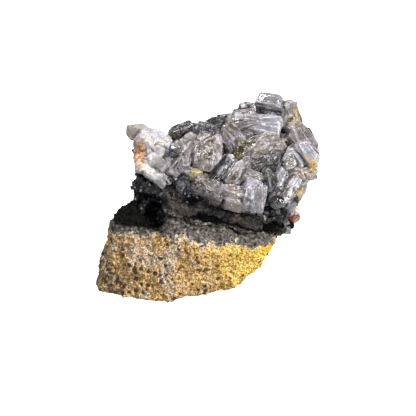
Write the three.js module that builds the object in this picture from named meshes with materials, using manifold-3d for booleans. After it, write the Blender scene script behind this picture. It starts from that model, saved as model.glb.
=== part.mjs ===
// A galena hand specimen, in millimetres, +Z up, resting on the broken underside of its host rock.
//
// A block of spotted, iron-stained host rock carries a seam of black galena. The seam overhangs the
// rock's front as a ledge, and holds a small open pocket lined with galena cubes. A mass of milky spar
// sits on the seam's left end, a crust of intergrown clear crystals covers the rest of its top, and
// one amber crystal grows from its right end.
//
// Every piece of stone is a block broken along flat fracture planes and then roughened. Every crystal
// is a bar with its edges and corners cut by flat faces. Pieces that touch keep SEAT between them.
import * as THREE from 'three';
import { ImprovedNoise } from 'three/addons/math/ImprovedNoise.js';
import { mergeVertices } from 'three/addons/utils/BufferGeometryUtils.js';
import Module from 'manifold-3d';

const wasm = await Module();
wasm.setup();

// ---------------------------------------------------------------- driving dimensions

const SEAT = 0.3; // gap between two pieces that rest on each other
const REACH = 150; // side of the cutting sheets, wider than the whole specimen
const SHEET_CELL = 6.8; // size of a cutting sheet's cells
const MERGE_WITHIN = 1e-4; // points nearer than this are one point

// The bed is the top of the seam, which the crystals grow on. It rises towards the back, and more
// steeply at the right-hand end.
const BED = { height: 50.75, perX: -0.0993, perY: 0.5563, twist: 0.00572 };

// The contact is where the seam meets the host rock. It rises to the back and falls away to the
// right, and drops at the back of the left-hand end, which is the rock's shoulder.
const CONTACT = { height: 34, perY: 0.3, frontY: -12, fallFromX: -10, fall: 0.008 };
const SHOULDER = { height: 33, x: -36, y: -6, perX: 0.66, perY: -0.55 };

const POCKET = { centre: [-22.3, -11.5, 33.6], radii: [6.2, 9.5, 6.6], turn: 8, lining: 1.3 };

// ---------------------------------------------------------------- noise and small helpers

const perlin = new ImprovedNoise();
const random = (low = 0, high = 1) => low + (high - low) * THREE.MathUtils.seededRandom();
const radians = THREE.MathUtils.degToRad;

/** Smooth noise from about -1 to 1, at a point, with features of a given size. */
function noiseAt(point, featureSize, offset = 0) {
  return 1.6 * perlin.noise(
    point.x / featureSize + offset,
    point.y / featureSize - offset,
    point.z / featureSize + 2 * offset,
  );
}

function bedHeight(x, y) {
  return BED.height + BED.perX * x + BED.perY * y + BED.twist * x * y;
}

function bedNormal(x, y) {
  return new THREE.Vector3(-BED.perX - BED.twist * y, -BED.perY - BED.twist * x, 1).normalize();
}

function contactHeight(x, y) {
  const past = Math.max(0, x - CONTACT.fallFromX);
  const contact = CONTACT.height + CONTACT.perY * (y - CONTACT.frontY) - CONTACT.fall * past * past;
  const shoulder = SHOULDER.height + SHOULDER.perX * (x - SHOULDER.x) + SHOULDER.perY * (y - SHOULDER.y);
  return Math.min(contact, shoulder);
}

// ---------------------------------------------------------------- between geometry and solids

function solidFrom(geometry) {
  const loose = geometry.index ? geometry.toNonIndexed() : geometry;
  const bare = new THREE.BufferGeometry();
  bare.setAttribute('position', loose.getAttribute('position').clone());
  const merged = mergeVertices(bare, MERGE_WITHIN);
  return new wasm.Manifold(new wasm.Mesh({
    numProp: 3,
    vertProperties: merged.attributes.position.array,
    triVerts: new Uint32Array(merged.index.array),
  }));
}

function geometryFrom(solid) {
  const mesh = solid.getMesh();
  const geometry = new THREE.BufferGeometry();
  geometry.setAttribute('position', new THREE.BufferAttribute(mesh.vertProperties, 3));
  geometry.setIndex(new THREE.BufferAttribute(mesh.triVerts, 1));
  geometry.computeVertexNormals();
  return geometry;
}

function joined(solids) {
  return solids.reduce((all, next) => all.add(next));
}

/** The largest of a solid's separate bodies: a cut can leave crumbs behind. */
function largest(solid) {
  const bodies = solid.decompose().sort((a, b) => b.volume() - a.volume());
  return bodies[0];
}

// ---------------------------------------------------------------- stone

/** A flat fracture: the way it faces, and a point that it passes through. */
const fracture = (facing, through) => ({
  normal: new THREE.Vector3(...facing).normalize(),
  through: new THREE.Vector3(...through),
});

/**
 * A block broken along flat fractures. The points of a finely divided box are moved, along the line
 * from the centre, to the nearest fracture, and then in and out by `rough`.
 */
function brokenBlock({ centre, cells, fractures, rough = [], grow = 0 }) {
  const middle = new THREE.Vector3(...centre);
  const geometry = new THREE.BoxGeometry(...cells, ...cells);
  const points = geometry.getAttribute('position');
  const along = new THREE.Vector3();
  const at = new THREE.Vector3();
  for (let i = 0; i < points.count; i++) {
    along.fromBufferAttribute(points, i).normalize();
    let reach = Infinity;
    for (const { normal, through } of fractures) {
      const facing = normal.dot(along);
      if (facing > 1e-3) {
        const distance = at.copy(through).sub(middle).dot(normal);
        reach = Math.min(reach, (distance + grow) / facing);
      }
    }
    at.copy(middle).addScaledVector(along, reach);
    const bump = rough.reduce((sum, [size, depth], k) => sum + depth * noiseAt(at, size, 7.3 * k), 0);
    at.addScaledVector(along, bump);
    points.setXYZ(i, at.x, at.y, at.z);
  }
  return solidFrom(geometry);
}

/** Everything below a sheet whose height is given at each x and y, raised by `grow` and roughened. */
function below(heightAt, grow = 0, rough = []) {
  const cells = Math.round(REACH / SHEET_CELL);
  const geometry = new THREE.BoxGeometry(REACH, REACH, 2, cells, cells, 1);
  const points = geometry.getAttribute('position');
  const at = new THREE.Vector3();
  for (let i = 0; i < points.count; i++) {
    at.fromBufferAttribute(points, i);
    const top = at.z > 0;
    at.z = 0;
    const bump = rough.reduce((sum, [size, depth], k) => sum + depth * noiseAt(at, size, 3.1 * k), 0);
    points.setZ(i, top ? heightAt(at.x, at.y) + bump + grow : -REACH);
  }
  return solidFrom(geometry);
}

/** A rounded hollow or boulder: a faceted ball with three radii, turned about Z and roughened. */
function boulder({ centre, radii, turn = 0, grow = 0, detail = 2, rough = 0.12 }) {
  const geometry = new THREE.IcosahedronGeometry(1, detail);
  const points = geometry.getAttribute('position');
  const at = new THREE.Vector3();
  for (let i = 0; i < points.count; i++) {
    at.fromBufferAttribute(points, i);
    const swell = 1 + rough * noiseAt(at, 0.55, centre[0]);
    points.setXYZ(i, ...radii.map((r, axis) => (r + grow) * swell * at.getComponent(axis)));
  }
  geometry.rotateZ(radians(turn));
  geometry.translate(...centre);
  return solidFrom(geometry);
}

// ---------------------------------------------------------------- crystals

const TILT = 0.16; // how far a crystal's faces tilt from its habit's
const SHIFT = 0.05; // how far they move in and out

// Each habit lists the faces that cut a bar: the way a face points, with the bar's half sizes as
// units, and how far out it lies, from 0 at the middle to 1 at the bar's own edge or corner.
const HABITS = {
  tablet: [
    [[0, 1, 1], 0.78], [[0, -1, 1], 0.8], [[0, 1, -1], 0.84], [[0, -1, -1], 0.84],
    [[1, 0, 1], 0.74], [[-1, 0, 1], 0.8], [[1, 1, 0], 0.8], [[-1, 1, 0], 0.84],
    [[1, -1, 0], 0.84], [[-1, -1, 0], 0.78], [[1, 1, 1], 0.68], [[-1, -1, 1], 0.7],
  ],
  prism: [
    [[0, 1, 0.6], 0.76], [[0, -1, 0.6], 0.76], [[0, 1, -0.6], 0.78], [[0, -1, -0.6], 0.78],
    [[1, 0, 0.7], 0.8], [[-1, 0, 0.6], 0.82], [[1, 0.7, 0], 0.84], [[-1, -0.7, 0], 0.84],
  ],
  tooth: [
    [[1, 1, 0.3], 0.58], [[1, -1, 0.3], 0.6], [[1, 0, 1], 0.6], [[1, 0, -1], 0.66],
    [[-1, 1, 0], 0.8], [[-1, -1, 0.4], 0.78], [[0, 1, 1], 0.72], [[0, -1, 1], 0.74],
  ],
  lump: [
    [[0, 1, 1], 0.7], [[0, -1, 1], 0.7], [[0, 1, -1], 0.7], [[0, -1, -1], 0.7],
    [[1, 0, 1], 0.7], [[-1, 0, 1], 0.7], [[1, 1, 0], 0.7], [[-1, 1, 0], 0.7],
    [[1, -1, 0], 0.7], [[-1, -1, 0], 0.7], [[1, 1, 1], 0.6], [[-1, -1, 1], 0.6],
    [[1, -1, 1], 0.6], [[-1, 1, 1], 0.6],
  ],
};

/**
 * A crystal lying along X about the origin: a bar of the given size, cut by its habit's faces. The
 * faces tilt and shift a little from one crystal to the next, by its `individual` number.
 */
function crystal(size, habit, individual = 0) {
  const half = size.map((s) => s / 2);
  let solid = solidFrom(new THREE.BoxGeometry(...size));
  HABITS[habit].forEach(([facing, out], face) => {
    const vary = (k) => Math.sin(12.9 * individual + 4.7 * face + 2.3 * k);
    const tilted = facing.map((f, axis) => f + TILT * vary(axis));
    const normal = new THREE.Vector3(...tilted.map((f, axis) => f / half[axis]));
    const corner = tilted.reduce((sum, f) => sum + Math.abs(f), 0) / normal.length();
    const distance = corner * (out + SHIFT * vary(3));
    normal.normalize().negate();
    solid = solid.trimByPlane(normal.toArray(), -distance);
  });
  return solid;
}

/**
 * Stands a crystal on the bed. `turn` swings its long axis round the bed's normal, `lean` lifts its
 * far end off the bed and `roll` turns it about its own length. A share of its height is buried.
 */
function grownOnBed({ at: [x, y], size, turn = 0, lean = 0, roll = 0, habit = 'tablet', rise = 0.22 }) {
  const normal = bedNormal(x, y);
  const strike = new THREE.Vector3(1, 0, 0).projectOnPlane(normal).normalize();
  const dip = new THREE.Vector3().crossVectors(normal, strike);
  const placed = new THREE.Matrix4().makeBasis(strike, dip, normal)
    .multiply(new THREE.Matrix4().makeRotationZ(radians(turn)))
    .multiply(new THREE.Matrix4().makeRotationY(radians(-lean)))
    .multiply(new THREE.Matrix4().makeRotationX(radians(roll)));
  const centre = new THREE.Vector3(x, y, bedHeight(x, y)).addScaledVector(normal, rise * size[2]);
  placed.setPosition(centre);
  return crystal(size, habit, x + 2 * y).transform(placed.toArray());
}

// The crystals that can be told apart, from the back right-hand corner forwards.
const CRYSTALS = [
  { at: [25.6, 22], size: [11, 8, 9], turn: 12, lean: 10, roll: 20, rise: 0.66 },
  { at: [27.5, 19.5], size: [9, 7, 7], turn: 30, habit: 'lump', rise: 0.3 },
  { at: [15, 19.6], size: [10, 6, 7], turn: -10, lean: 6, roll: 15, rise: 0.3 },
  { at: [18.5, 21.5], size: [6, 4, 4], turn: -15 },
  { at: [34.5, 18], size: [12, 8, 8], turn: 68, lean: 18, roll: 10 },
  { at: [36, 13.5], size: [5, 4.5, 5], turn: 20, habit: 'lump' },
  { at: [22, 14], size: [21, 7.5, 8], turn: -7, lean: 3, roll: 24, habit: 'prism', rise: 0.4 },
  { at: [12.5, 15.5], size: [11, 9, 8], turn: 25, roll: -12, rise: 0.3 },
  { at: [10.5, 7.5], size: [10, 9.5, 10], turn: 40, lean: 22, roll: 30 },
  { at: [21, 5], size: [16, 10, 10], turn: 24, lean: 6, roll: 10, habit: 'lump', rise: 0.3 },
  { at: [14, 3], size: [7, 4, 5], turn: 58, lean: 12 },
  { at: [19.5, -1.5], size: [9, 7, 7], turn: 18, habit: 'lump' },
  { at: [16.5, -7], size: [13, 9.5, 9], turn: 22, lean: 5, roll: -10, rise: 0.3 },
  { at: [19.3, -11.4], size: [12, 9, 9], turn: 74, lean: -4, rise: 0.24 },
  { at: [10, -13.8], size: [11, 9, 9], turn: 168, lean: -2, roll: 12, habit: 'tooth', rise: 0.24 },
  { at: [1, -1.5], size: [18, 11.5, 11], turn: 76, lean: 9, roll: -8, rise: 0.28 },
  { at: [-7, 4], size: [9, 7.5, 8], turn: 25, lean: 10, roll: 14 },
  { at: [1.5, 11.5], size: [10, 8, 8], turn: -8, lean: -8, roll: 16 },
  { at: [6.5, 17], size: [10, 5, 6], turn: 8, lean: 4, roll: 30 },
  { at: [-12.5, 11.5], size: [8, 7, 7], turn: 30, lean: 12, roll: -20 },
  { at: [-5.5, 12], size: [6, 5, 6], turn: -30, lean: 14, habit: 'lump' },
  { at: [-6.5, -6.5], size: [5.5, 4.5, 5], turn: 30, habit: 'lump', rise: 0.3 },
  { at: [-0.8, -10.6], size: [12, 8, 6.5], turn: -24, lean: -4, roll: -8, rise: 0.3 },
  { at: [-9.5, -10], size: [7, 5, 5], turn: 15, roll: 20 },
  { at: [-14.5, -12], size: [6, 4.5, 4.5], turn: -20, roll: -15 },
  { at: [-5.5, -11.5], size: [5.5, 4, 4.5], turn: 60, lean: 10 },
  { at: [5.8, -5], size: [13, 5, 7], turn: 66, lean: 12, roll: 10, habit: 'prism' },
  { at: [10, -4.5], size: [12, 5, 7], turn: 70, lean: 8, roll: -10, habit: 'prism' },
  { at: [9.5, 1], size: [5, 4, 6], turn: 40, lean: 20, roll: 20 },
  { at: [27, -1], size: [11, 9, 9], turn: 35, lean: 4, habit: 'lump', rise: 0.28 },
  { at: [26, -8], size: [12, 6, 9], turn: 82, lean: -6, rise: 0.26 },
  { at: [33, -9], size: [15, 7, 8], turn: 62, lean: 4, roll: 18, habit: 'prism', rise: 0.3 },
  { at: [29.5, -13.5], size: [7, 6.5, 7], turn: 10, habit: 'lump' },
  { at: [38.5, 9], size: [12, 9, 9], turn: 48, lean: 6, roll: -16, rise: 0.3 },
  { at: [40, 13.5], size: [10, 6, 7], turn: -48, lean: -4, roll: 10 },
  { at: [40.5, 3.5], size: [10, 8, 8], turn: 62, lean: -8, roll: 12, rise: 0.25 },
  { at: [40, -3], size: [9, 6, 6.5], turn: 28, lean: -16, roll: 30 },
  { at: [37, -8.5], size: [8, 5.5, 6], turn: 50, lean: -14 },
  { at: [33, 4.5], size: [7, 5, 7], turn: 72, lean: 16, roll: 14 },
  { at: [34, -1], size: [8, 6, 7], turn: -18, lean: 10 },
  { at: [32, 9.5], size: [7, 6.5, 7], turn: 0, habit: 'lump' },
  { at: [-16.5, 5], size: [9, 7, 7], turn: 20, lean: 6, roll: -14, habit: 'lump' },
  { at: [-19.5, -5], size: [10, 6, 6], turn: -34, lean: 6, roll: 16, rise: 0.3 },
  { at: [-13.5, -8], size: [8, 6, 5.5], turn: -30, lean: 4 },
  { at: [-11.5, -1], size: [9, 6, 6], turn: 60, lean: 10, roll: -10 },
];

// Small crystals fill the bed between the large ones, and join them all in one crust.
const FILL = { count: 60, seed: 41, left: -20, right: 41, front: -14, back: 12.5, skew: 0.2, size: [4, 6.6] };

function fillCrystals() {
  THREE.MathUtils.seededRandom(FILL.seed);
  return Array.from({ length: FILL.count }, () => {
    const x = random(FILL.left, FILL.right);
    const y = random(FILL.front, FILL.back + FILL.skew * x);
    const length = random(...FILL.size);
    return {
      at: [x, y],
      size: [length, length * random(0.6, 0.85), length * random(0.8, 1.1)],
      turn: random(0, 180),
      lean: random(-30, 30),
      roll: random(-40, 40),
      habit: 'tablet',
      rise: 0.1,
    };
  });
}

// ---------------------------------------------------------------- the pieces

const SURFACE = [[14, 1.5], [5.5, 0.9]]; // feature size and depth of the broken stone's roughness
const BACK = fracture([-0.2, 0.95, 0.13], [0, 17.5, 50]); // one clean break runs up the whole back

function hostRock() {
  const block = brokenBlock({
    centre: [-8, -3, 16],
    cells: [16, 11, 9],
    rough: SURFACE,
    fractures: [
      fracture([0, 0, -1], [0, 0, -1.5]), // underside
      fracture([-0.32, -0.92, 0.21], [-47, -19.5, 0]), // front, left of the nose
      fracture([0.354, -0.936, -0.2], [-17, -29, 0]), // front, right of the nose
      fracture([0.53, -0.18, -0.83], [6, -19, 0]), // undercut at the right
      fracture([0.8, -0.1, -0.55], [25.6, -4, 14]), // right
      fracture([-0.94, 0.05, 0.33], [-47.5, -8, 3]), // left
      fracture([-0.75, 0.6, 0.2], [-42, 10, 5]), // back left
      fracture([0.7, 0.68, -0.1], [24, 17, 10]), // back right
      fracture([0.33, -0.52, 0.79], [2, -25, 27]), // the ledge below the seam
      fracture([0, 0, 1], [0, 0, 46]), // above the contact
      BACK,
    ],
  });
  return largest(block
    .intersect(below(contactHeight, -SEAT / 2, [[9, 0.9]]))
    .subtract(pocket())
    .trimByPlane([0, 0, 1], 0));
}

/** The block that the seam is cut from, up to its bed, swollen by `grow`. */
function seamBlock(grow = 0) {
  const block = brokenBlock({
    centre: [5, 0, 42],
    cells: [15, 10, 7],
    rough: SURFACE,
    grow,
    fractures: [
      fracture([-0.12, -0.93, -0.35], [-3, -17, 42]), // overhanging front
      fracture([-0.35, -0.9, -0.1], [-22, -12.5, 44]), // front left
      fracture([0.55, -0.75, -0.37], [32, -14, 35]), // front right
      fracture([0.96, 0, -0.27], [40.5, -2, 46]), // right
      fracture([0.7, 0.7, -0.1], [38, 18, 50]), // back right
      fracture([-0.6, 0.8, 0], [-28, 9, 48]), // back left
      fracture([-0.98, -0.1, -0.02], [-31.6, 0, 44]), // left
      fracture([0, 0, -1], [0, 0, 12]), // below the contact
      fracture([0, 0, 1], [0, 0, 74]), // above the bed
      BACK,
    ],
  });
  return block.intersect(below(bedHeight, grow, [[8, 0.8]]));
}

/** The flat-topped ledge that juts from the seam's front, just above the contact. */
function ledge(grow = 0) {
  return brokenBlock({
    centre: [1, -12, 35.5],
    cells: [12, 5, 3],
    rough: [[8, 0.9]],
    grow,
    fractures: [
      fracture([0.2, -0.3, 0.93], [0, -18.5, 38.6]), // top
      fracture([-0.12, -0.92, -0.35], [0, -21.2, 37]), // front
      fracture([-0.75, -0.65, 0], [-19, -16.5, 38]), // left
      fracture([0.75, -0.65, 0], [23, -16.5, 31]), // right
      fracture([-0.2, 0.2, -0.95], [0, -16, 31]), // underside
      fracture([0, 1, 0], [0, -7, 35]), // buried back
    ],
  });
}

// Rounded knobs of galena stand out from the seam: above the pocket, and round its right-hand end.
const KNOBS = [
  { centre: [-25, -12, 44.2], radii: [6.4, 3.6, 4.6] },
  { centre: [-17.5, -13.5, 41.5], radii: [4, 2.6, 3.2] },
  { centre: [31.8, -12.5, 28], radii: [3.6, 3.4, 3.4] },
  { centre: [29, -15.5, 33.5], radii: [4.4, 3, 3.4] },
];

/** All the seam's stone above the contact, which what grows on the seam is cut to fit. */
function seamStone(grow = 0) {
  const knobs = KNOBS.map((knob) => boulder({ ...knob, grow, detail: 1, rough: 0.25 }));
  return joined([seamBlock(grow), ledge(grow), ...knobs]);
}

function pocket(grow = 0) {
  return boulder({ ...POCKET, grow });
}

function galenaSeam() {
  return largest(seamStone()
    .subtract(below(contactHeight, SEAT / 2, [[9, 0.9]]))
    .subtract(pocket()));
}

/** The open pocket's lining, thick with small galena cubes. */
function pocketCubes() {
  THREE.MathUtils.seededRandom(5);
  const [cx, cy, cz] = POCKET.centre;
  const lining = pocket(-SEAT).subtract(pocket(-SEAT - POCKET.lining));
  const cubes = Array.from({ length: 14 }, () => {
    const round = random(-Math.PI, Math.PI);
    const inward = random(0.15, 1.3);
    const side = random(2.2, 3.6);
    const box = new THREE.BoxGeometry(side, side, side);
    box.rotateX(random(0, Math.PI)).rotateY(random(0, Math.PI)).rotateZ(random(0, Math.PI));
    const radii = POCKET.radii.map((r) => r - POCKET.lining - 0.2);
    box.translate(
      cx + radii[0] * Math.cos(round) * Math.cos(inward),
      cy + radii[1] * Math.sin(inward),
      cz + radii[2] * Math.sin(round) * Math.cos(inward),
    );
    return solidFrom(box);
  });
  return largest(joined([lining, ...cubes])
    .intersect(pocket(-SEAT))
    .trimByPlane([0, 1, 0], cy + 0.5));
}

// The milky spar is a mass of thick plates, heaped on the seam's left end and leaning out to a tip.
const SPAR = [
  { at: [-23, 2.5], size: [13, 12, 12], turn: 12, lean: -6, roll: 6, habit: 'lump', rise: 0.16 },
  { at: [-24, 7], size: [11, 9, 10], turn: 24, lean: -12, habit: 'tablet', rise: 0.2 },
  { at: [-28.3, 8.7], size: [9.5, 7, 6.5], turn: 176, lean: 20, roll: -12, habit: 'tooth', rise: 0.7 },
  { at: [-24.5, -4], size: [11, 9, 9], turn: -10, lean: 4, habit: 'tablet', rise: 0.06 },
  { at: [-20.5, -9.5], size: [14, 4.5, 7], turn: -32, lean: 4, roll: 22, rise: 0.16 },
  { at: [-23.5, -8.5], size: [9, 5, 6], turn: -24, lean: -6, roll: -12, rise: 0.12 },
];

function sparBlock(grow = 0) {
  const larger = (size) => size.map((s) => s + 2 * grow);
  return joined(SPAR.map((plate) => grownOnBed({ ...plate, size: larger(plate.size) })));
}

function milkySpar() {
  return largest(sparBlock().subtract(seamStone(SEAT)));
}

function crystalCrust() {
  const crust = joined([...CRYSTALS, ...fillCrystals()].map(grownOnBed));
  return largest(crust.subtract(seamStone(SEAT)).subtract(sparBlock(SEAT)));
}

function amberCrystal() {
  const grown = crystal([8, 5.4, 5], 'tooth')
    .rotate([20, -12, -14])
    .translate([35, -6.5, 27.6]);
  return largest(grown.subtract(seamStone(SEAT)));
}

// ---------------------------------------------------------------- the specimen

const stone = (color, roughness, metalness = 0) =>
  new THREE.MeshStandardMaterial({ color, roughness, metalness, flatShading: true });
const clear = (color, opacity) =>
  new THREE.MeshStandardMaterial({ color, roughness: 0.15, transparent: true, opacity, flatShading: true });

const PIECES = {
  host_rock: [hostRock, stone(0xb8944a, 0.95)],
  galena_seam: [galenaSeam, stone(0x2c2c30, 0.5, 0.4)],
  pocket_cubes: [pocketCubes, stone(0x1c1c20, 0.3, 0.6)],
  milky_spar: [milkySpar, stone(0xe6e0d8, 0.55)],
  crystal_crust: [crystalCrust, clear(0xc9c8c6, 0.6)],
  amber_crystal: [amberCrystal, clear(0xa8562a, 0.75)],
};

const specimen = new THREE.Group();
specimen.name = 'galena_specimen';
for (const [name, [build, material]] of Object.entries(PIECES)) {
  const mesh = new THREE.Mesh(geometryFrom(build()), material);
  mesh.name = name;
  specimen.add(mesh);
}

// The origin is the middle of the specimen's box, on the surface that it rests on.
const box = new THREE.Box3().setFromObject(specimen);
const middle = box.getCenter(new THREE.Vector3());
specimen.position.set(-middle.x, -middle.y, 0);

export default specimen;
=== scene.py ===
"""A galena hand specimen: its rock, seam, pocket, spar and crystals, dressed and lit.

Lengths are in millimetres. Crystals, the bed, the pocket and the camera's aim are given in the
specimen's own modelling frame. The places in a finish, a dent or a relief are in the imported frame,
whose origin is ORIGIN away. Meshes are in metres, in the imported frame.
"""

from __future__ import annotations

import logging
import math
import random
from dataclasses import dataclass, field, replace
from enum import Enum
from typing import Callable, Iterable, Sequence

import bmesh
import bpy
from mathutils import Euler, Matrix, Vector, noise

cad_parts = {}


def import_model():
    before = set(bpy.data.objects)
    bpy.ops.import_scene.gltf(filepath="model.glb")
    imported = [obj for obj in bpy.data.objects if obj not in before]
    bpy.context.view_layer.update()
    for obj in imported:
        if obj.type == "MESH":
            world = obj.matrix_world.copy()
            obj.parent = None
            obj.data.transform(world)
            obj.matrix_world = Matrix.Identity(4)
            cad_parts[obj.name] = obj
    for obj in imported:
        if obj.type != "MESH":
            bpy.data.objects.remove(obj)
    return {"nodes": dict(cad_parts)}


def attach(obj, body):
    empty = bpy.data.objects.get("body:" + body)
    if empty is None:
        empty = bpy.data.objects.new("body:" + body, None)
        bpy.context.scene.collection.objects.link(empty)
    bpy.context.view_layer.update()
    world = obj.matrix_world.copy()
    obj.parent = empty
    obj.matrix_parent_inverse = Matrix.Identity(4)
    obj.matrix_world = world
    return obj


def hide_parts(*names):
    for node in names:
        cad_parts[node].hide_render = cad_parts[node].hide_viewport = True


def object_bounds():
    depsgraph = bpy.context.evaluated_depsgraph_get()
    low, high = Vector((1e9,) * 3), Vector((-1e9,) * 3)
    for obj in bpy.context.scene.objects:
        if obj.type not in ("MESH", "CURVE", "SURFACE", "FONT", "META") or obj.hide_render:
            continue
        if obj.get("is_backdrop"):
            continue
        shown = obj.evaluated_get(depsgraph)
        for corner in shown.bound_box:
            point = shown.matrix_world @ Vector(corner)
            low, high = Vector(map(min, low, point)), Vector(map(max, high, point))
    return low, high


log = logging.getLogger("specimen")

Colour = tuple[float, float, float]
Size = tuple[float, float, float]
Range = tuple[float, float]
Box = tuple[Size, Size]
Fade = tuple[float, float, float, float]  # two values, and what they are eased to
Profile = tuple[tuple[float, float], ...]
Face = tuple[Vector, float]  # the outward normal, and the distance from the middle
Socket = bpy.types.NodeSocket
Piece = bpy.types.Object

MM = 0.001
BODY = "root"
BEND_SEED = 7  # of the way the crystals are bent

# Where the modelling frame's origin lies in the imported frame.
ORIGIN = Vector((0.913, 2.020, 0.0))


# ---------------------------------------------------------------- the bed and small helpers


@dataclass(frozen=True)
class Bed:
    """The seam's top, which the crystals grow on: it rises to the back, most steeply at the right."""

    height: float = 50.75
    per_x: float = -0.0993
    per_y: float = 0.5563
    twist: float = 0.00572

    def height_at(self, x: float, y: float) -> float:
        """Returns the bed's height at a place."""
        return self.height + self.per_x * x + self.per_y * y + self.twist * x * y

    def axes_at(self, x: float, y: float) -> Matrix:
        """Finds the bed's own directions at a place.

        Args:
            x: The place's x.
            y: The place's y.

        Returns:
            A rotation whose columns run along the strike, up the dip, and along the normal.
        """
        slope_x = self.per_x + self.twist * y
        slope_y = self.per_y + self.twist * x
        normal = Vector((-slope_x, -slope_y, 1)).normalized()
        strike = (Vector((1, 0, 0)) - normal * normal.x).normalized()
        return Matrix((strike, normal.cross(strike), normal)).transposed()


BED = Bed()


def placed(mesh: bpy.types.Mesh, name: str) -> Piece:
    """Links a mesh to the scene as an object at the origin.

    Args:
        mesh: The mesh.
        name: The object's name.

    Returns:
        The object.
    """
    made = bpy.data.objects.new(name, mesh)
    bpy.context.scene.collection.objects.link(made)
    return made


def mesh_from(bm: bmesh.types.BMesh, name: str, smooth: bool = True) -> bpy.types.Mesh:
    """Turns a finished bmesh into a mesh, and frees it.

    Args:
        bm: The bmesh.
        name: The mesh's name.
        smooth: Whether its faces are shaded smooth.

    Returns:
        The mesh.
    """
    mesh = bpy.data.meshes.new(name)
    bm.to_mesh(mesh)
    bm.free()
    if smooth:
        mesh.shade_smooth()
    return mesh


@dataclass
class Limits:
    """The box round the solids, in metres, which no piece may leave."""

    low: Size = (0.0, 0.0, 0.0)
    high: Size = (0.0, 0.0, 0.0)

    def measure(self) -> None:
        """Takes the box from the solids, before any of them is replaced."""
        self.low, self.high = (tuple(corner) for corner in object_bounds())

    def nearest(self, place: Vector, margin: float = 0.0) -> Vector:
        """Returns the place nearest to one that lies in the box, at least a margin from its sides."""
        sides = zip(place, self.low, self.high)
        return Vector(min(max(value, low + margin), high - margin) for value, low, high in sides)

    def keep(self, bm: bmesh.types.BMesh) -> None:
        """Moves what sticks out of the box back to its sides."""
        for vert in bm.verts:
            vert.co = self.nearest(vert.co)


LIMITS = Limits()


def joined(meshes: Sequence[bpy.types.Mesh], name: str) -> Piece:
    """Joins meshes into one object, and keeps it in the box.

    Args:
        meshes: The meshes, which are removed.
        name: The object's name.

    Returns:
        The object.
    """
    bm = bmesh.new()
    for mesh in meshes:
        bm.from_mesh(mesh)
        bpy.data.meshes.remove(mesh)
    LIMITS.keep(bm)
    return placed(mesh_from(bm, name, smooth=False), name)


def seat(piece: Piece, finish: bpy.types.Material, slot: str, *nodes: str) -> Piece:
    """Gives a piece its finish, and fixes it to the specimen.

    Args:
        piece: The finished piece.
        finish: Its material.
        slot: The name of the piece's material slot; not used.
        *nodes: The solids that the piece stands for.

    Returns:
        The piece.
    """
    piece.data.materials.append(finish)
    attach(piece, BODY)
    if nodes:
        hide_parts(*nodes)
    log.info("%s: %d faces", piece.name, len(piece.data.polygons))
    return piece


# ---------------------------------------------------------------- shader trees


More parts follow.
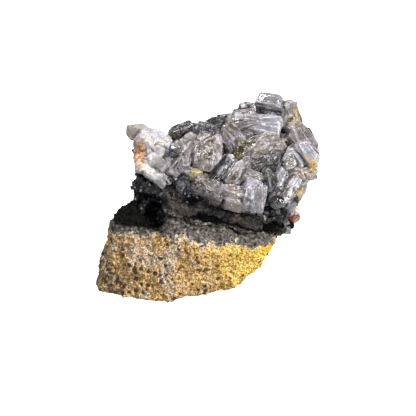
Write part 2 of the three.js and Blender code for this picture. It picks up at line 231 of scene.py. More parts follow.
class Tree:
    """A material's node tree, with one call for each kind of node that the finishes use."""

    # The Mix node's inputs for the factor, first and second value, and its output, for each kind of value.
    MIX_SOCKETS = {"RGBA": ((0, 6, 7), 2), "FLOAT": ((0, 2, 3), 0)}

    def __init__(self, name: str) -> None:
        """Starts a material with a Principled shader.

        Args:
            name: The material's name.
        """
        self.material = bpy.data.materials.new(name)
        self.material.use_nodes = True
        self.nodes = self.material.node_tree.nodes
        self.links = self.material.node_tree.links
        self.shader = self.nodes["Principled BSDF"]
        self.output = self.nodes["Material Output"]

    def add(self, kind: str, values: dict | None = None, **inputs: object) -> bpy.types.Node:
        """Adds a node.

        Args:
            kind: The node's type, without the leading ShaderNode.
            values: Settings of the node itself.
            **inputs: Numbers, colours or output sockets for its inputs, with _ for a space.

        Returns:
            The node.
        """
        node = self.nodes.new("ShaderNode" + kind)
        for key, value in (values or {}).items():
            setattr(node, key, value)
        for key, value in inputs.items():
            self.feed(node.inputs[key.replace("_", " ")], value)
        return node

    def feed(self, socket: Socket, value: object) -> None:
        """Links an output to a socket, or sets the socket's own value.

        Args:
            socket: The socket.
            value: An output, or a number, colour or place.
        """
        if isinstance(value, Socket):
            self.links.new(value, socket)
        elif isinstance(value, tuple) and len(value) == 3 and socket.type == "RGBA":
            socket.default_value = (*value, 1.0)
        else:
            socket.default_value = value

    def worked(self, kind: str, operation: str, *values: object) -> bpy.types.Node:
        """Adds a node that works on values.

        Args:
            kind: The node's type, without the leading ShaderNode.
            operation: What it does.
            *values: Numbers, places or output sockets for its inputs, in order.

        Returns:
            The node.
        """
        node = self.add(kind, {"operation": operation})
        for socket, value in zip(node.inputs, values):
            self.feed(socket, value)
        return node

    def set(self, **inputs: object) -> None:
        """Sets or links inputs of the Principled shader, with _ for a space."""
        for key, value in inputs.items():
            self.feed(self.shader.inputs[key.replace("_", " ")], value)

    def object_mm(self) -> Socket:
        """Returns Object coordinates in millimetres."""
        coords = self.add("TexCoord").outputs["Object"]
        return self.add("VectorMath", {"operation": "SCALE"}, Vector=coords, Scale=1 / MM).outputs[0]

    def attribute(self, name: str, output: str = "Vector") -> Socket:
        """Returns a mesh attribute."""
        return self.add("Attribute", {"attribute_name": name}).outputs[output]

    def noise(
        self, at: Socket, size: float, detail: float = 3, rough: float = 0.55, warp: float = 0
    ) -> Socket:
        """Returns noise whose features are about `size` mm across."""
        shape = {"Detail": float(detail), "Roughness": rough, "Distortion": float(warp)}
        return self.add("TexNoise", Vector=at, Scale=1 / size, **shape).outputs[0]

    def wobble(self, at: Socket, scale: float) -> Socket:
        """Returns a smooth random colour at each place, to push a pattern out of true with."""
        return self.add("TexNoise", Vector=at, Scale=scale, Detail=3.0).outputs["Color"]

    def cells(self, at: Socket, size: float, output: str = "Distance", feature: str = "F1") -> Socket:
        """Returns a Voronoi output whose cells are about `size` mm across."""
        return self.add("TexVoronoi", {"feature": feature}, Vector=at, Scale=1 / size).outputs[output]

    def ramp(self, fac: Socket, *stops: tuple[float, Colour]) -> Socket:
        """Returns a colour ramp.

        Args:
            fac: Where on the ramp.
            *stops: The place and the colour of each stop.

        Returns:
            The colour.
        """
        node = self.add("ValToRGB", Fac=fac)
        elements = node.color_ramp.elements
        while len(elements) < len(stops):
            elements.new(0.5)
        for element, (position, colour) in zip(elements, stops):
            element.position = position
            element.color = (*colour, 1.0)
        return node.outputs["Color"]

    def span(
        self, value: Socket, low: object, high: float, to_low: float = 0, to_high: float = 1
    ) -> Socket:
        """Returns a value eased from one range to another, and held at its ends."""
        ends = {"From_Min": low, "From_Max": float(high), "To_Min": float(to_low), "To_Max": float(to_high)}
        return self.add("MapRange", {"interpolation_type": "SMOOTHSTEP"}, Value=value, **ends).outputs[0]

    def profile(self, value: Socket, points: Profile, tallest: float = 40.0) -> Socket:
        """Returns the height of a line through points.

        Args:
            value: The distance along the line.
            points: Each point's distance along, and its height.
            tallest: A height that no point is above.

        Returns:
            The height.
        """
        first, last = points[0][0], points[-1][0]
        along = self.maths("DIVIDE", self.maths("SUBTRACT", value, first), last - first)
        stops = [((place - first) / (last - first), (height / tallest,) * 3) for place, height in points]
        return self.product(self.ramp(along, *stops), tallest)

    def maths(self, operation: str, *values: object) -> Socket:
        """Returns the result of a Math node."""
        return self.worked("Math", operation, *values).outputs[0]

    def product(self, *values: object) -> Socket:
        """Returns the first value times the second."""
        return self.maths("MULTIPLY", *values)

    def total(self, *shares: tuple[Socket, float]) -> Socket:
        """Adds values up.

        Args:
            *shares: Each value, and what it is multiplied by.

        Returns:
            The sum.
        """
        terms = [self.product(value, float(share)) for value, share in shares]
        while len(terms) > 1:
            terms.append(self.maths("ADD", terms.pop(0), terms.pop(0)))
        return terms[0]

    def stretched(self, at: Socket, by: Size) -> Socket:
        """Returns a place scaled along each axis, so that a pattern is stretched by the inverse."""
        return self.add("Mapping", Vector=at, Scale=by).outputs[0]

    def scaled(self, colour: Socket | Colour, by: Socket | float) -> Socket:
        """Returns a colour made brighter or darker by a factor."""
        return self.add("VectorMath", {"operation": "SCALE"}, Vector=colour, Scale=by).outputs[0]

    def shifted(self, at: Socket, by: Socket | Size) -> Socket:
        """Returns a place moved by a number along each axis."""
        return self.worked("VectorMath", "ADD", at, by).outputs[0]

    def away(self, at: Socket, centre: Size) -> Socket:
        """Returns the distance from a point."""
        return self.worked("VectorMath", "DISTANCE", at, centre).outputs["Value"]

    def near(self, at: Socket, centre: Size, inner: float, outer: float, most: float = 1) -> Socket:
        """Returns `most` within `inner` mm of a point, falling to 0 at `outer` mm."""
        return self.span(self.away(at, centre), inner, outer, most, 0)

    def mix(
        self, fac: object, first: object, second: object, blend: str = "MIX", kind: str = "RGBA"
    ) -> Socket:
        """Mixes two colours or numbers.

        Args:
            fac: The second one's share.
            first: The first one.
            second: The second one.
            blend: How they are mixed.
            kind: What they are.

        Returns:
            The mixture.
        """
        node = self.add("Mix", {"data_type": kind, "blend_type": blend})
        inputs, output = self.MIX_SOCKETS[kind]
        for index, value in zip(inputs, (fac, first, second)):
            self.feed(node.inputs[index], value)
        return node.outputs[output]

    def split(self, vector: Socket) -> tuple[Socket, ...]:
        """Returns a vector's x, y and z."""
        return tuple(self.add("SeparateXYZ", Vector=vector).outputs)

    def bump(self, height: Socket, depth: float, under: Socket | None = None) -> Socket:
        """Makes a bumped normal.

        Args:
            height: The height, from 0 to 1.
            depth: How many millimetres a height of 1 stands up.
            under: A bumped normal that this one is laid over.

        Returns:
            The normal.
        """
        inputs = {"Height": height, "Distance": depth * MM, "Strength": 1.0}
        if under is not None:
            inputs["Normal"] = under
        return self.add("Bump", **inputs).outputs[0]


# ---------------------------------------------------------------- finishes

GREY_ROCK = (
    (0.35, (0.018, 0.016, 0.014)), (0.48, (0.10, 0.089, 0.077)), (0.6, (0.20, 0.180, 0.160)),
    (0.72, (0.42, 0.40, 0.39)),
)


def grey_rock(tree: Tree, at: Socket) -> Socket:
    """Returns the colour of the granular grey rock between the ochre rock and the ore."""
    return tree.ramp(tree.noise(at, 1.3, 3, 0.65), *GREY_ROCK)


@dataclass(frozen=True)
class HostRockFinish:
    """Granular ochre rock with black spots, which turns dark grey above its upper edge.

    Its left-hand and lowest edges are darker in blotches, and its upper right corner has an orange crust.
    """

    brown: Colour = (0.30, 0.16, 0.045)
    ochre: Colour = (0.60, 0.345, 0.095)
    pale: Colour = (0.78, 0.53, 0.23)
    cream: Colour = (0.70, 0.57, 0.46)
    yellow: Colour = (0.98, 0.66, 0.13)
    stained: Colour = (0.12, 0.085, 0.08)
    orange: Colour = (0.90, 0.46, 0.005)
    spot: Colour = (0.045, 0.038, 0.048)
    lower_left_dark: Colour = (0.065, 0.05, 0.045)
    edge_dark: Colour = (0.06, 0.045, 0.025)
    fringe: Colour = (0.72, 0.66, 0.58)
    # The painted shade on the pocket's floor.
    pocket_shade: Colour = (0.012, 0.011, 0.010)
    # Places along the front, and the height at which the grey begins there.
    grey_edge: Profile = (
        (-47, 24.5), (-41, 26.2), (-32, 27.2), (-22.5, 27.9), (-20.7, 29.2), (-17, 28.5), (-8.5, 29.5),
        (-5.6, 28.8), (-2.3, 27.2), (1.8, 26.8), (7.6, 25.7), (12.8, 25.3), (14.5, 24), (17.4, 22.0),
        (20.3, 21.2), (26.8, 21.5),
    )
    raggedness: float = 1.6  # how far the edge runs above and below those heights
    grain_size: float = 0.66
    mottle_size: float = 2.0
    patch_size: float = 7.0
    patch_stretch: Size = (1.4, 1, 0.6)
    # How yellow the rock is along its front, and how strong its cream patches and cream grains are.
    yellow_along: Fade = (-6, 24, 0, 0.88)
    patches_along: Fade = (-12, 6, 1, 0.15)
    grains_along: Fade = (-25, 10, 0.5, 0.12)
    stain_size: float = 2.8
    stains_along: Fade = (-44, -14, 0.8, 0)
    spot_spacing: float = 2.6
    widest_spot: float = 0.43  # radius, as a share of the spacing
    spots_along: Fade = (-10, 16, 1, 0.66)
    # How much darker the rock is made along its front and up it, and how large its dark blotches are.
    darker_along: Fade = (-47, -37, 0.95, 0.1)
    darker_up: Fade = (0, 6, 0.5, 0.1)
    blotches_along: Fade = (-44, -36, 0.3, 0.46)
    # Where the orange crust is, and the reach of the full and of the last of it.
    crust_at: Size = (27.2, -14.5, 20.5)
    crust_reach: Range = (5.6, 7.4)
    # Where the lower left is darker in patches: a place, the reach of the full and of the last of it, and how
    # much.
    lower_left_patches: tuple[tuple[Size, float, float, float], ...] = (
        ((-42.5, -14, 6), 2.0, 7.0, 0.9), ((-40, -17, 10.5), 2.0, 4.5, 0.9), ((-38, -19, 4), 3.0, 7.0, 0.85),
    )
    # Where the pocket's floor is, which is painted near black as shade, and the reach of the full and of the
    # last of it.
    pocket_floor: Size = (-23.0, -9.0, 28.5)
    pocket_reach: Range = (4.5, 6.5)
    # The shoulder behind the pocket, dark rock made near black partly as painted shade: its colours, and how
    # black it is along, across and up the rock.
    shoulder: tuple[tuple[float, Colour], ...] = (
        (0.4, (0.001, 0.001, 0.001)), (0.65, (0.012, 0.012, 0.009)),
    )
    shoulder_along: Fade = (-20, -14, 1, 0)
    shoulder_across: Fade = (2, 10, 1, 0.3)
    shoulder_up: Fade = (29.6, 31.0, 0, 1)

    def material(self) -> bpy.types.Material:
        """Builds the material.

        Returns:
            The material.
        """
        tree = Tree("spotted_ochre_rock")
        at = tree.object_mm()
        grain = tree.noise(at, self.grain_size, 2, 0.6)
        colour = self._ochre(tree, at, grain)
        colour = self._with_orange_crust(tree, at, colour)
        colour, dark = self._with_spots(tree, at, colour)
        colour = self._with_darker_edges(tree, at, colour)
        tree.set(
            Base_Color=self._with_grey_top(tree, at, colour),
            Specular_IOR_Level=0.04,
            Roughness=tree.span(dark, 0, 1, 0.9, 0.55),
            Normal=tree.bump(grain, 0.55, tree.bump(tree.noise(at, 2.6, 4, 0.6), 0.8)),
        )
        return tree.material

    def _ochre(self, tree: Tree, at: Socket, grain: Socket) -> Socket:
        """Mottles the rock from brown to cream, with a yellow right-hand side.

        Args:
            tree: The material's tree.
            at: The place.
            grain: The rock's grain there.

        Returns:
            The colour.
        """
        x = tree.split(at)[0]
        patch = tree.noise(tree.stretched(at, self.patch_stretch), self.patch_size, 3)
        mottle = tree.noise(at, self.mottle_size, 5, 0.8)
        stops = ((0.32, self.brown), (0.45, self.ochre), (0.58, self.pale), (0.70, self.cream))
        colour = tree.mix(tree.span(x, *self.yellow_along), tree.ramp(mottle, *stops), self.yellow)
        patches = tree.product(tree.span(patch, 0.5, 0.6, 0, 0.7), tree.span(x, *self.patches_along))
        grains = tree.product(tree.span(grain, 0.52, 0.64), tree.span(x, *self.grains_along))
        for share in (patches, grains):
            colour = tree.mix(share, colour, self.cream)
        return tree.scaled(colour, tree.span(grain, 0.39, 0.6, 0.36, 1.4))

    def _with_spots(self, tree: Tree, at: Socket, colour: Socket) -> tuple[Socket, Socket]:
        """Adds stains, and the black spots: one in most cells, each of its own size, and fewer to the right.

        Args:
            tree: The material's tree.
            at: The place.
            colour: The colour without spots.

        Returns:
            The colour with them, and how dark a spot is there.
        """
        wobbly = tree.mix(0.3, at, tree.wobble(at, 1.2), "LINEAR_LIGHT")
        distance = tree.cells(wobbly, self.spot_spacing)
        kind = tree.split(tree.cells(wobbly, self.spot_spacing, "Color"))[0]
        x = tree.split(at)[0]
        widest = tree.span(kind, 0.15, 0.95, 0, self.widest_spot)
        radius = tree.product(widest, tree.span(x, *self.spots_along))
        dark = tree.span(tree.maths("SUBTRACT", radius, distance), -0.06, 0.06, 0, 0.93)
        stain = tree.span(tree.noise(at, self.stain_size, 3, 0.7), 0.56, 0.64)
        colour = tree.mix(tree.product(stain, tree.span(x, *self.stains_along)), colour, self.stained)
        return tree.mix(dark, colour, self.spot), dark

    def _with_orange_crust(self, tree: Tree, at: Socket, colour: Socket) -> Socket:
        """Adds the orange crust on the rock's upper right corner."""
        reach = tree.maths("ADD", tree.away(at, self.crust_at), tree.product(tree.noise(at, 3), 5.0))
        return tree.mix(tree.span(reach, *self.crust_reach, 0.92, 0), colour, self.orange)

    def _with_darker_edges(self, tree: Tree, at: Socket, colour: Socket) -> Socket:
        """Darkens the left-hand and lowest edges in blotches.

        Args:
            tree: The material's tree.
            at: The place.
            colour: The colour before it is darkened.

        Returns:
            The darkened colour.
        """
        x, _, z = tree.split(at)
        patches = tree.span(tree.noise(at, 2.4, 4, 0.7), 0.46, 0.53, 0.12, 1)
        for place, inner, outer, share in self.lower_left_patches:
            lower_left_patch = tree.product(tree.near(at, place, inner, outer, share), patches)
            colour = tree.mix(lower_left_patch, colour, self.lower_left_dark)
        blotch = tree.span(tree.noise(at, 5, 4, 0.75), tree.span(x, *self.blotches_along), 0.62)
        edge = tree.maths("MAXIMUM", tree.span(x, *self.darker_along), tree.span(z, *self.darker_up))
        return tree.mix(tree.product(blotch, edge), colour, self.edge_dark)

    def _with_grey_top(self, tree: Tree, at: Socket, colour: Socket) -> Socket:
        """Turns the rock dark grey above its ragged upper edge, with a pale fringe along the edge, and near
        black on the pocket's floor, as painted shade, and on the shoulder behind it, partly as painted shade.

        Args:
            tree: The material's tree.
            at: The place.
            colour: The ochre rock's colour.

        Returns:
            The colour with the grey.
        """
        x, y, z = tree.split(at)
        ragged = tree.span(tree.noise(at, 2.5, 4, 0.7), 0.25, 0.75, -self.raggedness, self.raggedness)
        above = tree.maths("ADD", tree.maths("SUBTRACT", z, tree.profile(x, self.grey_edge)), ragged)
        # The shoulder behind the pocket: dark rock, made near black partly as painted shade.
        shoulder = tree.product(tree.span(x, *self.shoulder_along), tree.span(z, *self.shoulder_up))
        shoulder = tree.product(shoulder, tree.span(y, *self.shoulder_across))
        black = tree.ramp(tree.noise(at, 1.6, 4, 0.7), *self.shoulder)
        grey = tree.mix(shoulder, grey_rock(tree, at), black)
        # Painted shade: the pocket's floor is made near black.
        grey = tree.mix(tree.near(at, self.pocket_floor, *self.pocket_reach), grey, self.pocket_shade)
        above = tree.maths("ADD", above, tree.near(at, self.pocket_floor, *self.pocket_reach, 3.0))
        fringed = tree.mix(tree.span(above, -1.1, -0.3, 0, 0.55), colour, self.fringe)
        return tree.mix(tree.span(above, -0.25, 0.25), fringed, grey)


@dataclass(frozen=True)
class GalenaFinish:
    """Dark lead-grey ore: stepped cleavage with painted glints, browner where it is weathered, and painted
    black as shade in its crack and hollows.
    """

    name: str = "galena_ore"
    dark: Colour = (0.002, 0.002, 0.0025)
    lead: Colour = (0.011, 0.011, 0.013)
    pale: Colour = (0.06, 0.06, 0.075)
    # The colour of the painted glints.
    glint: Colour = (0.24, 0.24, 0.29)
    # The black painted as shade in the crack and the hollows.
    hollow_shade: Colour = (0.0015, 0.0015, 0.002)
    weathered: tuple[tuple[float, Colour], ...] = (
        (0.36, (0.018, 0.015, 0.013)), (0.5, (0.046, 0.037, 0.032)), (0.66, (0.10, 0.082, 0.070)),
    )
    # Where the ore is painted black as the shade in a hollow: a place, and the reach of the full and of the
    # last of it.
    hollows: tuple[tuple[Size, float, float], ...] = (
        ((-25, -13, 36.5), 7.4, 9.0), ((-5.0, -15, 42.0), 2.0, 4.5), ((26.5, -12.5, 28), 4.0, 6.0),
    )
    # The crack's part of this is the strength of its painted shade.
    weathering: float = 0.9  # how strong the brown plates, the crack and the chips are
    # The heights above the grey rock between which the plates begin, and between which they end.
    plate_heights: tuple[Range, Range] = ((0.2, 0.5), (7.4, 5.6))
    plates_from: Range = (-19, -17)  # where along the front they and the grey rock begin
    plates_along: Fade = (-5, -4.6, 0.95, 0.7)  # how bright they are
    # The width of the plates' pattern along the front is divided by the first; the second is its slope.
    bedding: Range = (0.2, 0.36)
    glint_size: float = 0.85
    glints_from: Range = (6.0, 7.0)  # how far above the grey rock the glints begin
    # Places along the front, and the height of the grey rock's upper edge there.
    rock_top: Profile = (
        (-20, 38.0), (-16, 38.8), (-10.5, 36.9), (-7.5, 34.8), (-3.6, 34.0), (1.7, 32.8), (6.2, 31.8),
        (14, 30.5), (20.1, 28.8), (27, 27),
    )
    # The open crack above the rock, painted black as its shade: places along the front, and its middle's
    # height and half width there.
    crack_middle: Profile = (
        (-9, 35.6), (-7.5, 35.2), (-3, 35.8), (3, 34.3), (11.3, 32.0), (22.7, 28.6), (27, 27.4),
    )
    crack_reach: Profile = ((-9, 0.1), (-7, 0.5), (-3, 1.8), (3, 1.4), (8, 0.8), (20, 0.6), (27, 1.6))
    crack_from: Range = (-9.2, -8.8)
    widest_crack: float = 4.0
    chip: Colour = (0.42, 0.30, 0.24)
    chip_at: tuple[Size, ...] = ((-18.4, -14.5, 46.0), (-17.3, -14.6, 45.0), (-16.2, -14.8, 44.2))
    chip_reach: Range = (0.5, 1.1)

    def material(self) -> bpy.types.Material:
        """Builds the material.

        Returns:
            The material.
        """
        tree = Tree(self.name)
        at = tree.object_mm()
        x, _, z = tree.split(at)
        over = tree.maths("SUBTRACT", z, tree.profile(x, self.rock_top))
        over = tree.maths("ADD", over, tree.span(tree.noise(at, 3, 4), 0.25, 0.75, -0.7, 0.7))
        mottle = tree.noise(at, 1.4, 5, 0.7)
        colour = tree.ramp(mottle, (0.4, self.dark), (0.56, self.lead), (0.76, self.pale))
        colour = self._with_plates(tree, at, over, colour)
        hollow = self._hollow(tree, at)
        # Painted shade: the crack and the hollows are made black.
        colour = tree.mix(hollow, colour, self.hollow_shade)
        colour = tree.scaled(colour, tree.span(tree.noise(at, 0.9, 1, 0.5), 0.4, 0.6, 0.4, 1.7))
        for place in self.chip_at:
            colour = tree.mix(tree.near(at, place, *self.chip_reach, self.weathering), colour, self.chip)
        # Painted glints: a few facet cells are given a bright colour.
        facet = tree.split(tree.cells(at, self.glint_size, "Color"))[0]
        beside = tree.span(x, *reversed(self.plates_from))
        bare = tree.maths("MAXIMUM", tree.span(over, *self.glints_from), beside)
        glint = tree.product(tree.span(facet, 0.91, 0.94, 0, 0.8), bare)
        tree.set(
            Base_Color=tree.mix(glint, colour, self.glint),
            Specular_IOR_Level=tree.span(hollow, 0, 0.95, 0.22, 0.03),
            Roughness=tree.span(facet, 0.4, 0.75, 0.7, 0.2),
            Normal=tree.bump(facet, 0.2, tree.bump(mottle, 0.6)),
        )
        return tree.material

    def _with_plates(self, tree: Tree, at: Socket, over: Socket, colour: Socket) -> Socket:
        """Adds the brown weathered plates above the grey rock, and the rock itself below them.

        Args:
            tree: The material's tree.
            at: The place.
            over: How far it is above the rock's upper edge.
            colour: The bare ore's colour.

        Returns:
            The colour with both.
        """
        x, y, z = tree.split(at)
        begin, end = self.plate_heights
        plate = tree.product(tree.span(over, *begin), tree.span(over, *end))
        plate = tree.product(plate, tree.span(tree.noise(at, 7, 2), 0.4, 0.44))
        plate = tree.product(plate, tree.span(x, *self.plates_from, 0, self.weathering))
        along, lean = self.bedding
        leaning = tree.maths("MULTIPLY_ADD", x, lean, z)
        bedded = tree.add("CombineXYZ", X=tree.product(x, along), Y=y, Z=leaning).outputs[0]
        weathered = tree.ramp(tree.noise(bedded, 1.2, 4, 0.65), *self.weathered)
        weathered = tree.scaled(weathered, tree.span(x, *self.plates_along))
        rock = tree.product(tree.span(over, 0.2, -0.2), tree.span(x, *self.plates_from))
        return tree.mix(rock, tree.mix(plate, colour, weathered), grey_rock(tree, at))

    def _hollow(self, tree: Tree, at: Socket) -> Socket:
        """Finds the crack and the hollows, which are painted black as shade.

        Args:
            tree: The material's tree.
            at: The place.

        Returns:
            How deep in one of them the place is, from 0 to 1.
        """
        x, _, z = tree.split(at)
        wavy = tree.maths("ADD", z, tree.span(tree.noise(at, 1.5, 3), 0.25, 0.75, -0.5, 0.5))
        aside = tree.maths("ABSOLUTE", tree.maths("SUBTRACT", wavy, tree.profile(x, self.crack_middle)))
        aside = tree.maths("SUBTRACT", aside, tree.profile(x, self.crack_reach, self.widest_crack))
        crack = tree.span(aside, 0.1, -0.15, 0, self.weathering)
        hollow = tree.product(crack, tree.span(x, *self.crack_from))
        for place, inner, outer in self.hollows:
            hollow = tree.maths("MAXIMUM", hollow, tree.near(at, place, inner, outer, 0.95))
        return hollow


# Loose galena crystals, on which no grey rock shows.
LOOSE_GALENA = GalenaFinish(weathering=0, rock_top=((-50, 0), (50, 0)), hollows=())
POCKET_GALENA = replace(
    LOOSE_GALENA, name="black_pocket_galena", dark=(0.004, 0.004, 0.005), lead=(0.03, 0.03, 0.036),
    glint_size=0.8,
)
# The fine grey crystals, with brighter painted glints.
DRUSE = replace(
    LOOSE_GALENA, name="grey_druse", dark=(0.018, 0.018, 0.021), lead=(0.062, 0.062, 0.073),
    glint=(0.6, 0.6, 0.66), chip_at=(),
)


@dataclass(frozen=True)
class SparFinish:
    """Milky white spar with cream and lilac clouds and fine brown cracks, and rust on its left-hand side."""

    grey: Colour = (0.24, 0.235, 0.25)
    white: Colour = (0.50, 0.465, 0.455)
    bright: Colour = (0.82, 0.79, 0.78)
    cream: Colour = (0.83, 0.72, 0.52)
    lilac: Colour = (0.42, 0.41, 0.47)
    in_cracks: Colour = (0.16, 0.12, 0.10)
    rust: tuple[tuple[float, Colour], ...] = (
        (0.4, (0.12, 0.045, 0.012)), (0.5, (0.62, 0.30, 0.08)), (0.58, (0.66, 0.42, 0.24)),
        (0.70, (0.80, 0.66, 0.55)),
    )
    rust_up: tuple[Range, Range] = ((53.4, 54.4), (62.5, 60))  # the heights where it begins and ends
    rust_along: Fade = (-26.5, -23, 1, 0)
    crack_spacing: float = 3.6
    # Where the spar is smooth: a place, the reach of the full and of the last of it, and its colour.
    smooth: tuple[tuple[Size, float, float, Colour], ...] = (
        ((-31, 8, 65), 4.5, 6.5, (0.22, 0.19, 0.155)),
        ((-30, 3, 59.5), 2.2, 3.6, (0.13, 0.115, 0.075)),
        ((-19.6, -8.2, 56.4), 2.6, 3.6, (0.20, 0.18, 0.185)),
        ((-18.0, -9.0, 54.5), 2.6, 3.6, (0.17, 0.155, 0.16)),
        ((-17.6, -13.6, 49.6), 1.8, 4.0, (0.17, 0.165, 0.185)),
    )

    def material(self) -> bpy.types.Material:
        """Builds the material.

        Returns:
            The material.
        """
        tree = Tree("milky_spar")
        at = tree.object_mm()
        veil = tree.noise(at, 3.2, 5, 0.65, 0.6)
        colour = tree.ramp(veil, (0.3, self.grey), (0.47, self.white), (0.75, self.bright))
        colour = tree.mix(tree.span(tree.noise(at, 5, 3), 0.55, 0.7, 0, 0.75), colour, self.cream)
        colour = tree.mix(tree.span(tree.noise(at, 3.4, 4, 0.6, 0.5), 0.5, 0.62, 0, 0.8), colour, self.lilac)
        grain = tree.span(tree.noise(at, 0.9, 1, 0.5), 0.38, 0.62, 0.78, 1.15)
        colour = self._with_cracks(tree, at, tree.scaled(colour, grain))
        colour = self._with_rust(tree, at, colour)
        for place, inner, outer, smooth in self.smooth:
            colour = tree.mix(tree.near(at, place, inner, outer, 0.85), colour, tree.scaled(smooth, grain))
        tree.set(
            Base_Color=colour,
            Roughness=tree.span(veil, 0.3, 0.7, 0.3, 0.6),
            IOR=1.55,
            Transmission_Weight=0.12,
            Normal=tree.bump(tree.noise(at, 0.9, 3, 0.6), 0.1, tree.bump(veil, 0.5)),
        )
        return tree.material

    def _with_cracks(self, tree: Tree, at: Socket, colour: Socket) -> Socket:
        """Adds a net of fine cracks.

        Args:
            tree: The material's tree.
            at: The place.
            colour: The spar's colour.

        Returns:
            The colour with the cracks.
        """
        wobbly = tree.mix(0.35, at, tree.wobble(at, 0.5), "LINEAR_LIGHT")
        from_crack = tree.cells(wobbly, self.crack_spacing, feature="DISTANCE_TO_EDGE")
        return tree.mix(tree.span(from_crack, 0.0, 0.07, 0.6, 0), colour, self.in_cracks)

    def _with_rust(self, tree: Tree, at: Socket, colour: Socket) -> Socket:
        """Adds the rust on the left-hand side.

        Args:
            tree: The material's tree.
            at: The place.
            colour: The spar's colour.

        Returns:
            The colour with the rust.
        """
        x, _, z = tree.split(at)
        begin, end = self.rust_up
        side = tree.product(tree.span(z, *begin), tree.span(z, *end))
        side = tree.product(tree.span(x, *self.rust_along), side)
        blotch = tree.span(tree.noise(at, 3.4, 4, 0.6), 0.36, 0.5)
        rust = tree.ramp(tree.noise(at, 1.8, 4, 0.7), *self.rust)
        return tree.mix(tree.product(side, blotch), colour, rust)


@dataclass(frozen=True)
class CrystalFinish:
    """Glassy crystal with pale edges, partly wear and partly a painted highlight, frost, and growth lines
    that run straight or wind.

    It reads three attributes of a crystal's mesh: `own_place`, along the crystal's own axes; `marks`, which
    holds the crystal's shade, how striated it is, and the distance from its edges; and `facet_tone`, a
    painted light that varies at random from face to face.
    """

    name: str
    dark: Colour
    middle: Colour
    upper: Colour
    # The pale colour of the edges, partly wear and partly a painted highlight, and of growth lines and
    # specks.
    light: Colour  # of worn edges and growth lines
    clear: float  # how much light goes through
    rough: Range
    ior: float = 1.57
    absorbed: Colour = (0.80, 0.80, 0.79)
    density: float = 30.0  # per metre
    apart: float = 60.0  # how far the pattern moves from the darkest crystal to the palest
    frost_size: float = 4.2
    speck_size: float = 0.75
    grain_size: float = 0.85
    pitch: float = 0.85  # size of the growth lines' pattern
    # How pale the edges, partly wear and partly a painted highlight, the growth lines and the specks make it.
    wear_and_highlight: float = 0.3
    line_strength: float = 0.7
    speckled: float = 0.6
    grain: Range = (-0.42, 0.36)  # how much darker and lighter its grains are
    warm: Colour = (1.0, 0.93, 0.80)
    cool: Colour = (0.96, 0.97, 1.04)
    stain: Colour = (0.78, 0.44, 0.03)
    # Where the stains are, and how far each reaches.
    stains: tuple[tuple[Size, float], ...] = (
        ((40.0, 16.0, 64.6), 2.6), ((43.2, -3.2, 54.0), 2.4), ((44.3, -1.2, 51.2), 2.6),
        ((41.3, -4.8, 47.6), 1.6), ((38.1, -10.9, 43.4), 2.0),
    )
    # The painted shade where crystals meet.
    crease_shade: float = 1.3  # how far the dark reaches from where crystals meet

    def material(self) -> bpy.types.Material:
        """Builds the material.

        Returns:
            The material.
        """
        tree = Tree(self.name)
        own = tree.attribute("own_place")
        shade, striated, from_edge = tree.split(tree.attribute("marks"))
        # A painted light that varies at random from face to face, as facets catch the light differently.
        tone = tree.attribute("facet_tone", "Fac")
        at = tree.shifted(own, tree.product(shade, self.apart))
        broad = tree.noise(at, 4.6, 2, 0.5)
        veil = tree.noise(at, 2.6, 4, 0.65, 0.8)
        fine = tree.noise(at, 0.85, 3, 0.6)
        frost = tree.noise(tree.shifted(at, (7, 7, 7)), self.frost_size, 2, 0.5)
        frost = tree.span(frost, 0.44, 0.58, 0.2, 1)
        frost = tree.product(frost, tree.span(striated, 0, 1, 1, 0.35))
        lines = self._growth_lines(tree, at, striated, veil)
        cloud = tree.total((tone, 0.12), (broad, 0.35), (veil, 0.3), (shade, 0.25), (fine, 0.25))
        pale = self._pale(tree, at, fine, frost, lines, from_edge)
        colour = tree.ramp(cloud, (0.5, self.dark), (0.64, self.middle), (0.82, self.upper))
        colour = tree.mix(tree.span(pale, 0, 1), colour, self.light)
        grain = tree.noise(tree.shifted(at, (9, 9, 9)), self.grain_size, 1, 0.5)
        grain = tree.maths("MULTIPLY_ADD", tree.span(grain, 0.38, 0.62, *self.grain), frost, 1.0)
        colour = tree.scaled(colour, tree.product(grain, tree.span(shade, 0, 1, 0.5, 1.35)))
        colour = tree.mix(1.0, colour, tree.ramp(broad, (0.4, self.warm), (0.58, self.cool)), "MULTIPLY")
        colour = self._with_stains(tree, colour)
        # Painted shade: darker where crystals meet, by ambient occlusion.
        crease_shade = tree.add("AmbientOcclusion", {"samples": 6}, Distance=self.crease_shade * MM).outputs["AO"]
        tree.set(
            Base_Color=tree.mix(tree.span(crease_shade, 0.2, 0.65, 0.85, 0), colour, self.dark),
            Roughness=tree.span(tree.total((cloud, 1.0), (pale, 0.2)), 0.5, 0.9, *self.rough),
            IOR=self.ior,
            Transmission_Weight=self.clear,
            Normal=tree.bump(broad, 0.4, tree.bump(lines, 0.07, tree.bump(fine, 0.1))),
        )
        absorption = tree.add("VolumeAbsorption", Color=self.absorbed, Density=self.density)
        tree.links.new(absorption.outputs[0], tree.output.inputs["Volume"])
        return tree.material

    def _pale(
        self, tree: Tree, at: Socket, fine: Socket, frost: Socket, lines: Socket, from_edge: Socket
    ) -> Socket:
        """Adds up what makes a crystal pale, with a painted highlight along its edges.

        Args:
            tree: The material's tree.
            at: The place.
            fine: The fine unevenness there.
            frost: How frosted it is.
            lines: The growth lines.
            from_edge: The distance from the crystal's edges.

        Returns:
            How pale the place is.
        """
        # Pale edges: partly wear, partly a painted highlight.
        wear_and_highlight = tree.span(tree.total((from_edge, 0.8), (fine, 1.0)), 0.5, 1.0, 1, 0)
        specks = tree.product(tree.span(tree.noise(at, self.speck_size, 1, 0.5), 0.52, 0.66), frost)
        return tree.total((wear_and_highlight, self.wear_and_highlight), (lines, self.line_strength), (specks, self.speckled))

